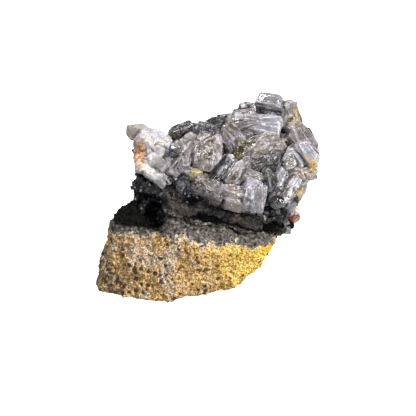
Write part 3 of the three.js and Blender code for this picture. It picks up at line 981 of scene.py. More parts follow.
    def _with_stains(self, tree: Tree, colour: Socket) -> Socket:
        """Adds ragged ochre stains in the hollows between the crystals.

        Args:
            tree: The material's tree.
            colour: The clean colour.

        Returns:
            The stained colour.
        """
        at = tree.object_mm()
        ragged = tree.span(tree.noise(at, 1.2, 3, 0.6), 0.36, 0.44)
        pushed = (tree.wobble(at, 0.5), (12, 12, 12), tree.shifted(at, (-6, -6, -6)))
        warped = tree.worked("VectorMath", "MULTIPLY_ADD", *pushed).outputs[0]
        for centre, reach in self.stains:
            stain = tree.product(tree.near(warped, centre, reach * 0.7, reach), ragged)
            colour = tree.mix(stain, colour, self.stain)
        return colour

    def _growth_lines(self, tree: Tree, at: Socket, striated: Socket, veil: Socket) -> Socket:
        """Draws fine pale lines: straight and along the crystal where it is striated, else winding.

        Args:
            tree: The material's tree.
            at: The place.
            striated: How straight the lines are, from 0 to 1.
            veil: Where the lines show.

        Returns:
            How strong a line is there.
        """
        straight = tree.noise(tree.stretched(at, (0.1, 1, 1)), self.pitch, 2, 0.5)
        winding = tree.noise(tree.stretched(at, (0.3, 1, 1)), self.pitch * 1.3, 2, 0.5, 1.6)
        either = tree.mix(striated, winding, straight, kind="FLOAT")
        return tree.product(tree.span(either, 0.5, 0.62), tree.span(veil, 0.36, 0.56))


class Look(Enum):
    """The looks that the clear crystals have."""

    FROSTED = CrystalFinish(
        "frosted_crystal",
        (0.025, 0.021, 0.016), (0.105, 0.090, 0.078), (0.22, 0.195, 0.185), (0.68, 0.63, 0.65),
        0.5, (0.1, 0.45),
    )
    CLEAR = CrystalFinish(
        "clear_crystal",
        (0.015, 0.013, 0.011), (0.09, 0.080, 0.074), (0.25, 0.225, 0.225), (0.85, 0.80, 0.84),
        0.65, (0.05, 0.35),
    )
    SMOKY = CrystalFinish(
        "smoky_crystal",
        (0.010, 0.010, 0.010), (0.05, 0.048, 0.049), (0.12, 0.115, 0.12), (0.52, 0.50, 0.54),
        0.55, (0.2, 0.5),
    )
    WHITE = CrystalFinish(
        "white_crystal",
        (0.15, 0.14, 0.15), (0.30, 0.28, 0.295), (0.48, 0.46, 0.48), (0.86, 0.83, 0.88),
        0.3, (0.1, 0.4), warm=(1, 0.98, 0.96),
    )
    HONEY = CrystalFinish(
        "honey_crystal",
        (0.045, 0.034, 0.012), (0.16, 0.115, 0.045), (0.34, 0.27, 0.13), (0.80, 0.72, 0.45),
        0.55, (0.15, 0.45), absorbed=(0.88, 0.76, 0.52), density=50.0, line_strength=0.4,
    )


# ---------------------------------------------------------------- stone


@dataclass(frozen=True)
class Relief:
    """One size of surface relief: how wide its features are, and how far they stand in and out."""

    size: float
    depth: float
    stretch: Size = (1, 1, 1)

    def rounded(self, place: Vector) -> float:
        """Returns smooth relief at a place, in millimetres."""
        scaled = Vector(place[axis] / (self.size * self.stretch[axis]) for axis in range(3))
        return self.depth * noise.noise(scaled)

    def stepped(self, place: Vector, turn: Euler) -> float:
        """Finds relief in flat steps, as a cubic cleavage leaves.

        Args:
            place: The place, in millimetres.
            turn: How the cleavage lies.

        Returns:
            The height at the place, in millimetres.
        """
        turned = place.copy()
        turned.rotate(turn)
        return self.depth * (noise.cell(turned / self.size) - 0.5)


@dataclass(frozen=True)
class Dent:
    """A broad hollow in a surface, or a swelling where its depth is below 0."""

    centre: Size
    radius: float
    depth: float

    def at(self, place: Vector) -> float:
        """Returns the hollow's depth at a place, in millimetres."""
        share = max(1 - (place - Vector(self.centre)).length / self.radius, 0)
        return self.depth * share * share * (3 - 2 * share)


@dataclass
class Stone:
    """A piece of broken stone, made from a copy of its solid with finer and finer relief on it."""

    node: str
    slot: str
    name: str
    voxel: float  # length of its faces
    smooth: Sequence[Relief]
    steps: Sequence[Relief] = ()
    cleavage: Euler = field(default_factory=lambda: Euler((0.5, 0.35, 0.2)))
    inward: float = 0.1
    dents: Sequence[Dent] = ()

    WELD = 1e-6  # metres within which the solid's corners are one

    def build(self, nodes: dict[str, Piece], finish: bpy.types.Material) -> Piece:
        """Makes the piece.

        Args:
            nodes: The specimen's solids, by name.
            finish: The piece's material.

        Returns:
            The finished piece.
        """
        solid = self._fine_copy(nodes[self.node])
        self._roughen(solid)
        return seat(placed(mesh_from(solid, self.name), self.name), finish, self.slot, self.node)

    def _fine_copy(self, node: Piece) -> bmesh.types.BMesh:
        """Remeshes a copy of a solid into small even faces.

        Args:
            node: The solid.

        Returns:
            The copy.
        """
        bm = bmesh.new()
        bm.from_mesh(node.data)
        bmesh.ops.remove_doubles(bm, verts=bm.verts, dist=self.WELD)
        rough = placed(mesh_from(bm, self.name + "_solid"), self.name + "_solid")
        remesh = rough.modifiers.new("even", "REMESH")
        remesh.mode = "VOXEL"
        remesh.voxel_size = self.voxel * MM
        fine = bmesh.new()
        fine.from_object(rough, bpy.context.evaluated_depsgraph_get())
        bpy.data.objects.remove(rough)
        return fine

    def _roughen(self, bm: bmesh.types.BMesh) -> None:
        """Moves every point in or out along its normal, and keeps it within the specimen's box.

        Args:
            bm: The stone's mesh.
        """
        bm.normal_update()
        moves = []
        for vert in bm.verts:
            place = vert.co / MM
            height = sum(relief.rounded(place) for relief in self.smooth)
            height += sum(relief.stepped(place, self.cleavage) for relief in self.steps)
            height -= self.inward + sum(dent.at(place) for dent in self.dents)
            moves.append(vert.normal * (height * MM))
        for vert, move in zip(bm.verts, moves):
            vert.co += move
        LIMITS.keep(bm)


# ---------------------------------------------------------------- small cubes


@dataclass
class CubeCluster:
    """Many small cubes, each turned at random."""

    name: str
    slot: str
    sides: Range
    seed: int

    def build(self, places: Iterable[Vector], finish: bpy.types.Material, *nodes: str) -> Piece:
        """Makes the cubes.

        Args:
            places: Each cube's middle, in metres.
            finish: The cubes' material.
            *nodes: The solids that the cubes stand for.

        Returns:
            The finished piece.
        """
        chance = random.Random(self.seed)
        bm = bmesh.new()
        for middle in places:
            side = chance.uniform(*self.sides) * MM
            turn = Euler([chance.uniform(0, math.pi) for _ in range(3)]).to_matrix().to_4x4()
            inside = Matrix.Translation(LIMITS.nearest(middle, side))
            bmesh.ops.create_cube(bm, size=side, matrix=inside @ turn)
        return seat(placed(mesh_from(bm, self.name, smooth=False), self.name), finish, self.slot, *nodes)


# ---------------------------------------------------------------- crystals


class Habit(Enum):
    """The faces that cut a crystal's bar: which way each points, and how far out it lies.

    A face's direction is in units of the bar's half sizes. It lies at 0 in the middle, and at 1 on
    the bar's own edge or corner.
    """

    TABLET = (
        ((0, 1, 1), 0.78), ((0, -1, 1), 0.8), ((0, 1, -1), 0.84), ((0, -1, -1), 0.84),
        ((1, 0, 1), 0.74), ((-1, 0, 1), 0.8), ((1, 1, 0), 0.8), ((-1, 1, 0), 0.84),
        ((1, -1, 0), 0.84), ((-1, -1, 0), 0.78), ((1, 1, 1), 0.68), ((-1, -1, 1), 0.7),
    )
    PRISM = (
        ((0, 1, 0.6), 0.76), ((0, -1, 0.6), 0.76), ((0, 1, -0.6), 0.78), ((0, -1, -0.6), 0.78),
        ((1, 0, 0.7), 0.8), ((-1, 0, 0.6), 0.82), ((1, 0.7, 0), 0.84), ((-1, -0.7, 0), 0.84),
    )
    TOOTH = (
        ((1, 1, 0.3), 0.58), ((1, -1, 0.3), 0.6), ((1, 0, 1), 0.6), ((1, 0, -1), 0.66),
        ((-1, 1, 0), 0.8), ((-1, -1, 0.4), 0.78), ((0, 1, 1), 0.72), ((0, -1, 1), 0.74),
    )
    LUMP = (
        ((0, 1, 1), 0.7), ((0, -1, 1), 0.7), ((0, 1, -1), 0.7), ((0, -1, -1), 0.7),
        ((1, 0, 1), 0.7), ((-1, 0, 1), 0.7), ((1, 1, 0), 0.7), ((-1, 1, 0), 0.7),
        ((1, -1, 0), 0.7), ((-1, -1, 0), 0.7), ((1, 1, 1), 0.6), ((-1, -1, 1), 0.6),
        ((1, -1, 1), 0.6), ((-1, 1, 1), 0.6),
    )


@dataclass(frozen=True)
class Crystal:
    """One crystal: its size, its habit, and how it stands on the bed.

    The pose's first angle swings its long axis round the bed's normal, the second lifts its far end
    and the third turns it about its own length. `rise` is the share of its height by which its
    middle stands off the bed.
    """

    at: tuple[float, float]
    size: Size
    look: Look
    habit: Habit = Habit.TABLET
    pose: Size = (0, 0, 0)  # degrees
    rise: float = 0.22
    shade: float = 0.5  # how pale it is, from 0 to 1
    striated: float = 0  # how straight its growth lines run, from 0 to 1
    roundness: float = 0.06  # width of its rounded edges, as a share of its mean size
    fineness: float = 1.1  # longest edge of its faces
    waviness: float = 0.22  # depth of the unevenness of its faces

    TILT = 0.3  # how far its faces are turned at random
    SHIFT = 0.06  # how far they are moved at random, as a share of their distance
    VARIES = (12.9, 4.7, 2.3)  # what the crystal's, the face's and the axis's number count for in both
    # A face's tone, which these numbers vary, is a painted light.
    FACET_LIGHT_VARIES = (5.3, 7.1)  # what the face's and the crystal's number count for in a face's tone
    SHORTEST = 0.7  # shortest edge that is rounded, as a share of its rounding
    COARSE = 2.0  # the fineness at which faces are left flat
    MOST_SPLITS = 6
    WARP = 0.8  # how far its shape is bent, for each 10 mm of its smallest size
    WARP_SIZE = 7.0
    WAVE_SIZE = 3.1
    RIPPLE_SIZE = 1.3

    @property
    def individual(self) -> float:
        """A number of the crystal's own, from which its faces vary."""
        return self.at[0] + 2 * self.at[1]

    def placing(self) -> Matrix:
        """Stands the crystal on the bed.

        Returns:
            Its placing in the modelling frame.
        """
        axes = BED.axes_at(*self.at)
        turn, lean, roll = (math.radians(angle) for angle in self.pose)
        turned = (
            axes.to_4x4() @ Matrix.Rotation(turn, 4, "Z") @ Matrix.Rotation(-lean, 4, "Y")
            @ Matrix.Rotation(roll, 4, "X")
        )
        foot = Vector((*self.at, BED.height_at(*self.at)))
        return Matrix.Translation(foot + axes.col[2] * (self.rise * self.size[2])) @ turned

    def mesh(self, placing: Matrix | None = None) -> bpy.types.Mesh:
        """Makes the crystal's mesh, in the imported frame.

        Args:
            placing: Where the crystal goes in the modelling frame, if it doesn't stand on the bed.

        Returns:
            A mesh with the attributes that a crystal's finish reads.
        """
        bm = bmesh.new()
        bmesh.ops.create_cube(bm, size=1.0, matrix=Matrix.Diagonal((*self.size, 1)))
        bar, cuts = self._bar_faces(), self._cut_faces()
        for normal, distance in cuts:
            self._cut(bm, normal, distance)
        edge = self.roundness * sum(self.size) / 3
        bmesh.ops.remove_doubles(bm, verts=bm.verts, dist=edge * self.SHORTEST)
        bmesh.ops.bevel(
            bm, geom=bm.edges[:], offset=edge, segments=2, profile=0.5, affect="EDGES", material=-1,
            clamp_overlap=True,
        )
        self._refine(bm)
        self._mark(bm, bar + cuts)
        bm.normal_update()
        moves = [vert.normal * self._wave(vert.co) + self._bend(vert.co) for vert in bm.verts]
        for vert, move in zip(bm.verts, moves):
            vert.co += move
        bmesh.ops.transform(bm, matrix=placing or self.placing(), verts=bm.verts)
        bmesh.ops.transform(bm, matrix=Matrix.Scale(MM, 4) @ Matrix.Translation(ORIGIN), verts=bm.verts)
        return mesh_from(bm, "crystal", smooth=self.fineness < self.COARSE)

    def _bar_faces(self) -> list[Face]:
        """Lists the faces of the crystal's bar.

        Returns:
            The six faces.
        """
        faces = []
        for axis in range(3):
            for sign in (1, -1):
                normal = Vector((0, 0, 0))
                normal[axis] = sign
                faces.append((normal, self.size[axis] / 2))
        return faces

    def _cut_faces(self) -> list[Face]:
        """Lists the faces of the crystal's habit, each a little out of true.

        Returns:
            The faces that cut the bar.
        """
        faces = []
        by_crystal, by_face, by_axis = self.VARIES
        for number, (facing, out) in enumerate(self.habit.value):
            phase = by_crystal * self.individual + by_face * number
            vary = [math.sin(phase + by_axis * axis) for axis in range(4)]
            tilted = [part + self.TILT * vary[axis] for axis, part in enumerate(facing)]
            normal = Vector(part / (side / 2) for part, side in zip(tilted, self.size))
            corner = sum(abs(part) for part in tilted) / normal.length
            faces.append((normal.normalized(), corner * (out + self.SHIFT * vary[3])))
        return faces

    def _cut(self, bm: bmesh.types.BMesh, normal: Vector, distance: float) -> None:
        """Cuts away what lies beyond one face, and closes the cut.

        Args:
            bm: The crystal.
            normal: The face's outward normal.
            distance: The face's distance from the crystal's middle.
        """
        cut = bmesh.ops.bisect_plane(
            bm, geom=bm.verts[:] + bm.edges[:] + bm.faces[:], plane_co=normal * distance, plane_no=normal,
            clear_outer=True,
        )
        rim = [part for part in cut["geom_cut"] if isinstance(part, bmesh.types.BMEdge)]
        if rim:
            bmesh.ops.edgeloop_fill(bm, edges=rim)

    def _mark(self, bm: bmesh.types.BMesh, faces: Sequence[Face]) -> None:
        """Writes the attributes that the crystal's finish reads.

        Args:
            bm: The crystal, with its middle at the origin.
            faces: Its faces.
        """
        own_place = bm.verts.layers.float_vector.new("own_place")
        marks = bm.verts.layers.float_vector.new("marks")
        facet_tone = bm.verts.layers.float.new("facet_tone")
        by_face, by_crystal = self.FACET_LIGHT_VARIES
        for vert in bm.verts:
            depths = sorted(
                (distance - normal.dot(vert.co), number) for number, (normal, distance) in enumerate(faces)
            )
            # The face's painted light, which varies at random from face to face.
            tone = math.sin(by_face * depths[0][1] + by_crystal * self.individual)
            vert[own_place] = vert.co
            vert[marks] = (self.shade, self.striated, max(depths[1][0], 0.0))
            vert[facet_tone] = 0.5 + 0.5 * tone

    def _refine(self, bm: bmesh.types.BMesh) -> None:
        """Splits the faces until none has an edge longer than `fineness`.

        Args:
            bm: The crystal.
        """
        bmesh.ops.triangulate(bm, faces=bm.faces[:])
        for _ in range(self.MOST_SPLITS):
            long_edges = [edge for edge in bm.edges if edge.calc_length() > self.fineness]
            if not long_edges:
                break
            bmesh.ops.subdivide_edges(bm, edges=long_edges, cuts=1)
            bmesh.ops.triangulate(bm, faces=[face for face in bm.faces if len(face.verts) > 3])

    def _bend(self, place: Vector) -> Vector:
        """Returns how far the whole crystal is pushed out of true at a place, in millimetres."""
        own = place + Vector((0, self.individual, 0))
        return self.WARP * min(self.size) / 10 * noise.noise_vector(own / self.WARP_SIZE)

    def _wave(self, place: Vector) -> float:
        """Returns how far a face stands in or out at a place, in millimetres."""
        own = place + Vector((self.individual, 0, 0))
        return self.waviness * (noise.noise(own / self.WAVE_SIZE) + 0.5 * noise.noise(own / self.RIPPLE_SIZE))


# ---------------------------------------------------------------- the crystals that can be told apart

FROSTED, CLEAR, SMOKY, WHITE, HONEY = Look
TABLET, PRISM, TOOTH, LUMP = Habit

# On the seam's top, from the back right-hand corner forwards.
# Each one's place on the bed, size, look, habit, pose, rise and shade, and how striated it is.
CRYSTALS = [
    Crystal((26.1, 22.3), (11, 7, 6.6), WHITE, PRISM, (-14, 2, 4), 1.2, 0.32, 0.7),
    Crystal((27.1, 20.6), (9.5, 6.5, 7.5), CLEAR, LUMP, (30, 0, 0), 0.5, 0.9),
    # A small white crystal set as a painted highlight, where a facet flashes.
    Crystal((31.1, 19.8), (3.4, 3, 5), WHITE, TABLET, (70, 10, 0), 0.75, 1),
    Crystal((22.6, 21.7), (5, 4, 4.5), CLEAR, LUMP, (40, 10, 0), 0.5, 0.3),
    Crystal((18.5, 21.2), (10, 6, 6.5), SMOKY, TABLET, (-20, 10, 0), 0.45, 0.15),
    Crystal((14.8, 18.8), (9, 7, 6.5), SMOKY, TABLET, (-14, 6, 15), 0.3, 0.1, 0.3),
    Crystal((33.6, 19), (11.5, 9, 8), FROSTED, TABLET, (100, 14, 8), 0.26, 0.7, 0.4),
    Crystal((34.5, 16.1), (9, 6, 6), HONEY, LUMP, (60, 0, 0), 0.46, 0.7),
    Crystal((21.4, 14.6), (19, 8.6, 8.6), WHITE, PRISM, (-10, 3, 24), 0.5, 0.58, 1),
    Crystal((13.4, 15.2), (12, 10, 9), FROSTED, TABLET, (18, 0, -12), 0.36, 0.6, 0.3),
    Crystal((10.1, 8.5), (12, 10, 10), CLEAR, TABLET, (-50, -10, 20), 0.3, 1, 1),
    Crystal((5.9, 16.1), (12.5, 7, 6.5), SMOKY, TABLET, (14, 4, 24), 0.34, 0.2, 0.1),
    Crystal((0.9, 10.7), (12, 9, 8.5), CLEAR, TABLET, (-8, -8, 16), 0.3, 0.5, 0.3),
    Crystal((-3.3, 12.7), (7.5, 6, 7), FROSTED, LUMP, (80, 0, 0), 0.36, 0.5),
    Crystal((-6.8, 12.8), (8, 6, 7), SMOKY, LUMP, (-30, 14, 0), 0.32, 0.3),
    Crystal((-11.2, 11.7), (10, 7, 7), SMOKY, TABLET, (30, 8, -20), 0.25, 0.15, 0.2),
    Crystal((-8.4, 4), (11.5, 10, 8.5), FROSTED, TABLET, (58, 8, 14), 0.26, 0.95, 0.7),
    Crystal((-0.6, 0.5), (15.5, 12, 11.5), FROSTED, TABLET, (84, 9, -8), 0.32, 0.85, 0.1),
    Crystal((-5.3, 3.6), (8, 6, 7), FROSTED, TABLET, (60, 0, 0), 0.4, 0.95, 0.6),
    Crystal((4.1, -5.4), (14, 5.5, 8), SMOKY, PRISM, (62, 12, 10), 0.34, 0.35, 0.8),
    Crystal((2.1, -3.3), (9, 4, 6), SMOKY, PRISM, (66, 12, 0), 0.5, 0.3, 0.6),
    Crystal((8.3, -3.8), (11.5, 5.5, 7.5), CLEAR, PRISM, (66, 8, -10), 0.3, 0.7, 0.7),
    Crystal((9.9, 2.5), (7, 5.5, 7), SMOKY, TABLET, (50, 12, 10), 0.22, 0.4),
    # A small white crystal set as a painted highlight, where a facet flashes.
    Crystal((9, 0.1), (3.4, 3.2, 5.5), WHITE, TABLET, (62, 8, 0), 0.62, 1),
    Crystal((21.7, 5.4), (18, 11.5, 10.5), FROSTED, LUMP, (24, 6, 10), 0.36, 0.85, 0.15),
    Crystal((13.6, 3.6), (9, 5.5, 7), HONEY, TABLET, (58, 10, 0), 0.62, 0.3),
    Crystal((18.5, -1), (11, 8, 8), SMOKY, LUMP, (14, 0, 0), 0.26, 0.45),
    Crystal((11.3, -6.2), (12, 6.5, 8.5), FROSTED, TABLET, (56, 6, 0), 0.28, 0.75, 0.7),
    Crystal((16.4, -6.4), (12, 7, 8), FROSTED, TABLET, (-2, 4, -10), 0.26, 0.75, 0.1),
    Crystal((18, -13.6), (11.5, 9.5, 9), WHITE, TABLET, (84, -4, 6), 0.32, 0.4, 0.1),
    Crystal((9.5, -14.7), (11, 9, 8.5), FROSTED, TOOTH, (172, -2, 12), 0.3, 1, 0.1),
    Crystal((-0.5, -11.7), (13, 9, 7.5), FROSTED, TABLET, (-24, -4, -8), 0.26, 0.58, 0.2),
    Crystal((5, -11.2), (6.5, 5, 5), FROSTED, TABLET, (20, 0, 10), 0.34, 0.4),
    Crystal((-6.2, -8.6), (7, 4.6, 4.4), HONEY, LUMP, (10, 0, 0), 1, 1),
    Crystal((-14.4, -9.7), (6, 4.2, 4), SMOKY, TABLET, (-20, 0, -15), 0.12, 0.3),
    Crystal((15.8, 11.4), (8, 6, 6), CLEAR, LUMP, (30, 0, 0), 0.34, 0.85),
    Crystal((-4, -9.7), (6, 4.5, 4.5), CLEAR, TABLET, (20, 4, 0), 0.26, 0.5),
    Crystal((-12, -4.1), (10.5, 7, 7), FROSTED, TABLET, (52, 4, 12), 0.28, 0.35, 0.8),
    Crystal((-8.7, -2.4), (9.5, 7, 7.5), SMOKY, TABLET, (60, 10, 10), 0.28, 1, 0.1),
    Crystal((-5.2, -5.5), (8, 6, 6.5), FROSTED, TABLET, (70, 6, 0), 0.3, 0.85, 0.1),
    Crystal((-15.6, -7.3), (9, 6, 5.5), SMOKY, TABLET, (-32, 4, 0), 0.3, 0.9, 0.7),
    Crystal((-11.4, -6.6), (7, 5, 5), SMOKY, LUMP, (20, 0, 0), 0.14, 0.5),
    Crystal((-14.3, 1.1), (9.5, 8, 8), SMOKY, LUMP, (20, 6, -14), 0.4, 0.35),
    Crystal((-16.6, -2), (8, 6, 6), SMOKY, TABLET, (-34, 6, 16), 0.3, 0.6, 0.6),
    Crystal((39.2, 8.4), (16.5, 10, 9.5), FROSTED, TABLET, (-60, 2, -14), 0.4, 1, 0.9),
    Crystal((42.9, 11.1), (9, 4, 6.5), SMOKY, TABLET, (-66, -4, 10), 0.26, 0.35),
    Crystal((41.2, 2.4), (9, 6, 7), WHITE, TABLET, (-50, -6, 12), 0.3, 0.3, 1),
    Crystal((32.1, 10), (8, 7, 7), FROSTED, LUMP, (0, 0, 0), 0.24, 0.7),
    Crystal((27.3, 2.6), (12, 9, 9), SMOKY, LUMP, (35, 4, 0), 0.28, 0.15),
    Crystal((25.8, -2.4), (9, 7, 7.5), SMOKY, TABLET, (70, 4, 0), 0.25, 0.25),
    Crystal((33.5, 3), (10, 6, 8), CLEAR, TABLET, (62, 12, 14), 0.42, 1, 0.8),
    Crystal((39.1, -1.8), (9.5, 7, 7), FROSTED, TABLET, (28, -16, 30), 0.26, 1, 0.2),
    Crystal((34.1, -1.6), (9, 6.5, 7), CLEAR, TABLET, (-18, 10, 0), 0.26, 0.8, 0.2),
    Crystal((37.6, 2.8), (9, 6, 6), WHITE, PRISM, (-56, 0, 0), 0.75, 0.5, 1),
    Crystal((28.9, -5.8), (9.5, 4, 7.5), WHITE, PRISM, (66, 4, 0), 0.42, 0.55, 0.8),
    Crystal((40.7, 4), (10.5, 6, 7), WHITE, PRISM, (-56, 0, 10), 0.95, 0.5, 1),
    Crystal((15.3, 0.5), (6, 5, 5), FROSTED, LUMP, (30, 0, 0), 0.7, 0.85),
    Crystal((15.2, -8.2), (6, 4.5, 5), FROSTED, TABLET, (0, 0, 0), 0.3, 0.9),
    Crystal((-9.2, -7.5), (7, 5, 5), WHITE, TABLET, (-20, 0, 0), 0.7, 0.15),
    Crystal((25.1, -7.3), (13, 6, 9), SMOKY, TABLET, (90, -6, 0), 0.26, 0.4, 0.2),
    Crystal((33.3, -8.8), (14, 5.5, 8), CLEAR, PRISM, (61, 4, 18), 0.34, 0.85, 1),
    Crystal((30.7, -8.5), (12, 4.5, 7.5), CLEAR, PRISM, (63, 6, -10), 0.36, 0.8, 1),
    Crystal((36.9, -7.8), (9, 6, 6.5), FROSTED, TABLET, (62, -10, 0), 0.28, 1, 0.3),
    Crystal((33, -13.8), (6, 4.5, 5), SMOKY, LUMP, (40, 0, 0), 0.3, 0.5),
]

# The spar's smooth plates, from its tip forwards.
SPAR_PLATES = [
    Crystal((-28.4, 8.6), (12, 7, 6.8), WHITE, LUMP, (-12, -4, 6), 0.72, 0.5),
    Crystal((-21.1, 4.2), (11.5, 8, 7), WHITE, TABLET, (-22, -6, -8), 0.74, 0.6),
    Crystal((-19.9, 0.9), (8, 6, 6.5), WHITE, TABLET, (36, -4, 18), 0.62, 0.4),
    Crystal((-25.9, 3.2), (8, 9, 7), WHITE, TABLET, (60, 4, 10), 0.85, 0.7),
    Crystal((-21.3, -6.1), (9.5, 5.6, 4.5), WHITE, TABLET, (-36, 0, 14), 0.95, 0.3),
    Crystal((-26.4, -7.4), (7.5, 5.5, 4), WHITE, TABLET, (-6, 0, 10), 0.62, 0.6),
    Crystal((-21.7, -12.1), (10.5, 3.8, 3), WHITE, TOOTH, (-38, -2, 14), 1, 0.6),
]


# ---------------------------------------------------------------- the crust


@dataclass
class CrystalCrust:
    """The intergrown crystals that cover the seam's top, with small ones filling between the large."""

    seed: int = 12
    host_length: float = 9.5  # shortest crystal that has others grown on it
    # How a crystal that has grown on a large one differs from it.
    grown_share: Range = (0.45, 0.7)
    grown_along: Range = (0.15, 0.3)  # share of the large one's length
    grown_aside: float = 0.22  # share of the large one's width
    grown_pose: Size = (14, 10, 16)
    grown_rise: Range = (0.1, 0.35)
    grown_shade: float = 0.2
    grown_fineness: float = 1.3
    # The small crystals between the large.
    fill_count: int = 140
    fill_looks: tuple[Look, ...] = (CLEAR, SMOKY, SMOKY)
    fill_lengths: Range = (3.0, 7.0)
    fill_widths: Range = (0.6, 0.85)  # share of the length
    fill_heights: Range = (0.7, 1)  # share of the length
    fill_turn: float = 180
    fill_lean: float = 30
    fill_roll: float = 40
    fill_rise: float = 0.08
    fill_shades: Range = (0.1, 0.8)
    fill_fineness: float = 2.5
    fill_roundness: float = 0.04
    fill_waviness: float = 0.1
    # How far they reach along the bed, and across it.
    left: float = -20
    right: float = 41
    front: float = -14
    front_corners: tuple[Range, Range] = ((-2, 0.35), (24, 0.5))  # where the front turns back, and how fast
    back: float = 12.5
    skew: float = 0.2  # how far the back edge runs back, for each unit to the right

    def build(self) -> dict[Look, Piece]:
        """Makes one piece for each look, all in place of the crust's solid.

        Returns:
            The piece of each look.
        """
        crystals = CRYSTALS + self._grown_on() + self._fill()
        pieces = {}
        for look in Look:
            meshes = [crystal.mesh() for crystal in crystals if crystal.look is look]
            piece = joined(meshes, look.value.name + "s")
            pieces[look] = seat(piece, look.value.material(), "clear_crystal", "crystal_crust")
        return pieces

    def _grown_on(self) -> list[Crystal]:
        """Grows smaller crystals on the large ones, nearly parallel to them.

        Returns:
            The smaller crystals.
        """
        chance = random.Random(self.seed)
        grown = []
        for host in CRYSTALS:
            if host.size[0] < self.host_length:
                continue
            for side in (-1, 1, chance.choice((-1, 1))):
                grown.append(self._grown(host, side, chance))
        return grown

    def _grown(self, host: Crystal, side: int, chance: random.Random) -> Crystal:
        """Grows one crystal on another.

        Args:
            host: The crystal that it grows on.
            side: Towards which end, 1 or -1.
            chance: What it varies by.

        Returns:
            The smaller crystal.
        """
        share = chance.uniform(*self.grown_share)
        along = math.radians(host.pose[0])
        reach = side * chance.uniform(*self.grown_along) * host.size[0]
        aside = chance.uniform(-self.grown_aside, self.grown_aside) * host.size[1]
        x = host.at[0] + reach * math.cos(along) - aside * math.sin(along)
        y = host.at[1] + reach * math.sin(along) + aside * math.cos(along)
        pose = tuple(angle + chance.uniform(-most, most) for angle, most in zip(host.pose, self.grown_pose))
        rise = host.rise / share + chance.uniform(*self.grown_rise)
        shade = host.shade + chance.uniform(-self.grown_shade, self.grown_shade)
        return replace(
            host, at=(x, y), size=tuple(length * share for length in host.size), pose=pose, rise=rise,
            shade=min(max(shade, 0), 1), fineness=self.grown_fineness,
        )

    def _front_at(self, x: float) -> float:
        """Returns how far forward the small crystals reach at a place along the bed."""
        (left, left_slope), (right, right_slope) = self.front_corners
        return self.front + left_slope * max(left - x, 0) + right_slope * max(x - right, 0)

    def _fill(self) -> list[Crystal]:
        """Scatters small crystals at random places on the bed.

        Returns:
            The small crystals.
        """
        chance = random.Random(self.seed)
        fill = []
        for _ in range(self.fill_count):
            x = chance.uniform(self.left, self.right)
            y = chance.uniform(self._front_at(x), self.back + self.skew * x)
            length = chance.uniform(*self.fill_lengths)
            width = length * chance.uniform(*self.fill_widths)
            height = length * chance.uniform(*self.fill_heights)
            look = chance.choice(self.fill_looks)
            turn = chance.uniform(0, self.fill_turn)
            lean = chance.uniform(-self.fill_lean, self.fill_lean)
            roll = chance.uniform(-self.fill_roll, self.fill_roll)
            shade = chance.uniform(*self.fill_shades)
            small = Crystal(
                (x, y), (length, width, height), look, pose=(turn, lean, roll), rise=self.fill_rise,
                shade=shade, roundness=self.fill_roundness, fineness=self.fill_fineness,
                waviness=self.fill_waviness,
            )
            fill.append(small)
        return fill


# ---------------------------------------------------------------- the rock, the seam and the spar

HOST_ROCK = Stone(
    "host_rock", "host_rock", "ochre_host_rock", 0.5,
    smooth=(Relief(6, 1.0), Relief(2.4, 0.6), Relief(1.1, 0.8)),
    dents=(
        Dent((-41, -8, 28), 11, -2.2), Dent((-47, -9, 10), 13, 4.3), Dent((15, -19, 5), 7, -2.6),
        Dent((7, -23, -1), 9, 2.8),
    ),
)
SEAM = Stone(
    "galena_seam", "galena", "galena_ore_seam", 0.5,
    smooth=(Relief(5, 1.5, (2.4, 1, 1)), Relief(2.2, 0.6), Relief(1.1, 0.2)),
    steps=(Relief(3.6, 0.9),),
    dents=(Dent((-31, 2, 50), 14, 3.4), Dent((40, -10, 36), 11, 4.0), Dent((35, -14, 26), 8, 2.5)),
)
SPAR = Stone(
    "milky_spar", "milky_spar", "white_spar", 0.32,
    smooth=(Relief(5, 0.8), Relief(1.6, 0.2)),
    steps=(Relief(3.5, 0.8), Relief(1.8, 0.3)),
    dents=(Dent((-30, 2, 53), 9, -1.5), Dent((-16, -11.5, 51.5), 5, 2.6)),
)


def scatter_on(
    faces: Sequence[bpy.types.MeshPolygon], count: int, seed: int, wanted: Callable[[Vector, Vector], bool]
) -> list[Vector]:
    """Picks random faces of a piece.

    Args:
        faces: The piece's faces.
        count: How many faces to try.
        seed: The seed of the choice.
        wanted: Whether to keep a face, from its middle in millimetres and its normal.

    Returns:
        The middles of the faces that were kept, in metres.
    """
    tried = random.Random(seed).choices(faces, k=count)
    return [face.center.copy() for face in tried if wanted(face.center / MM, face.normal)]


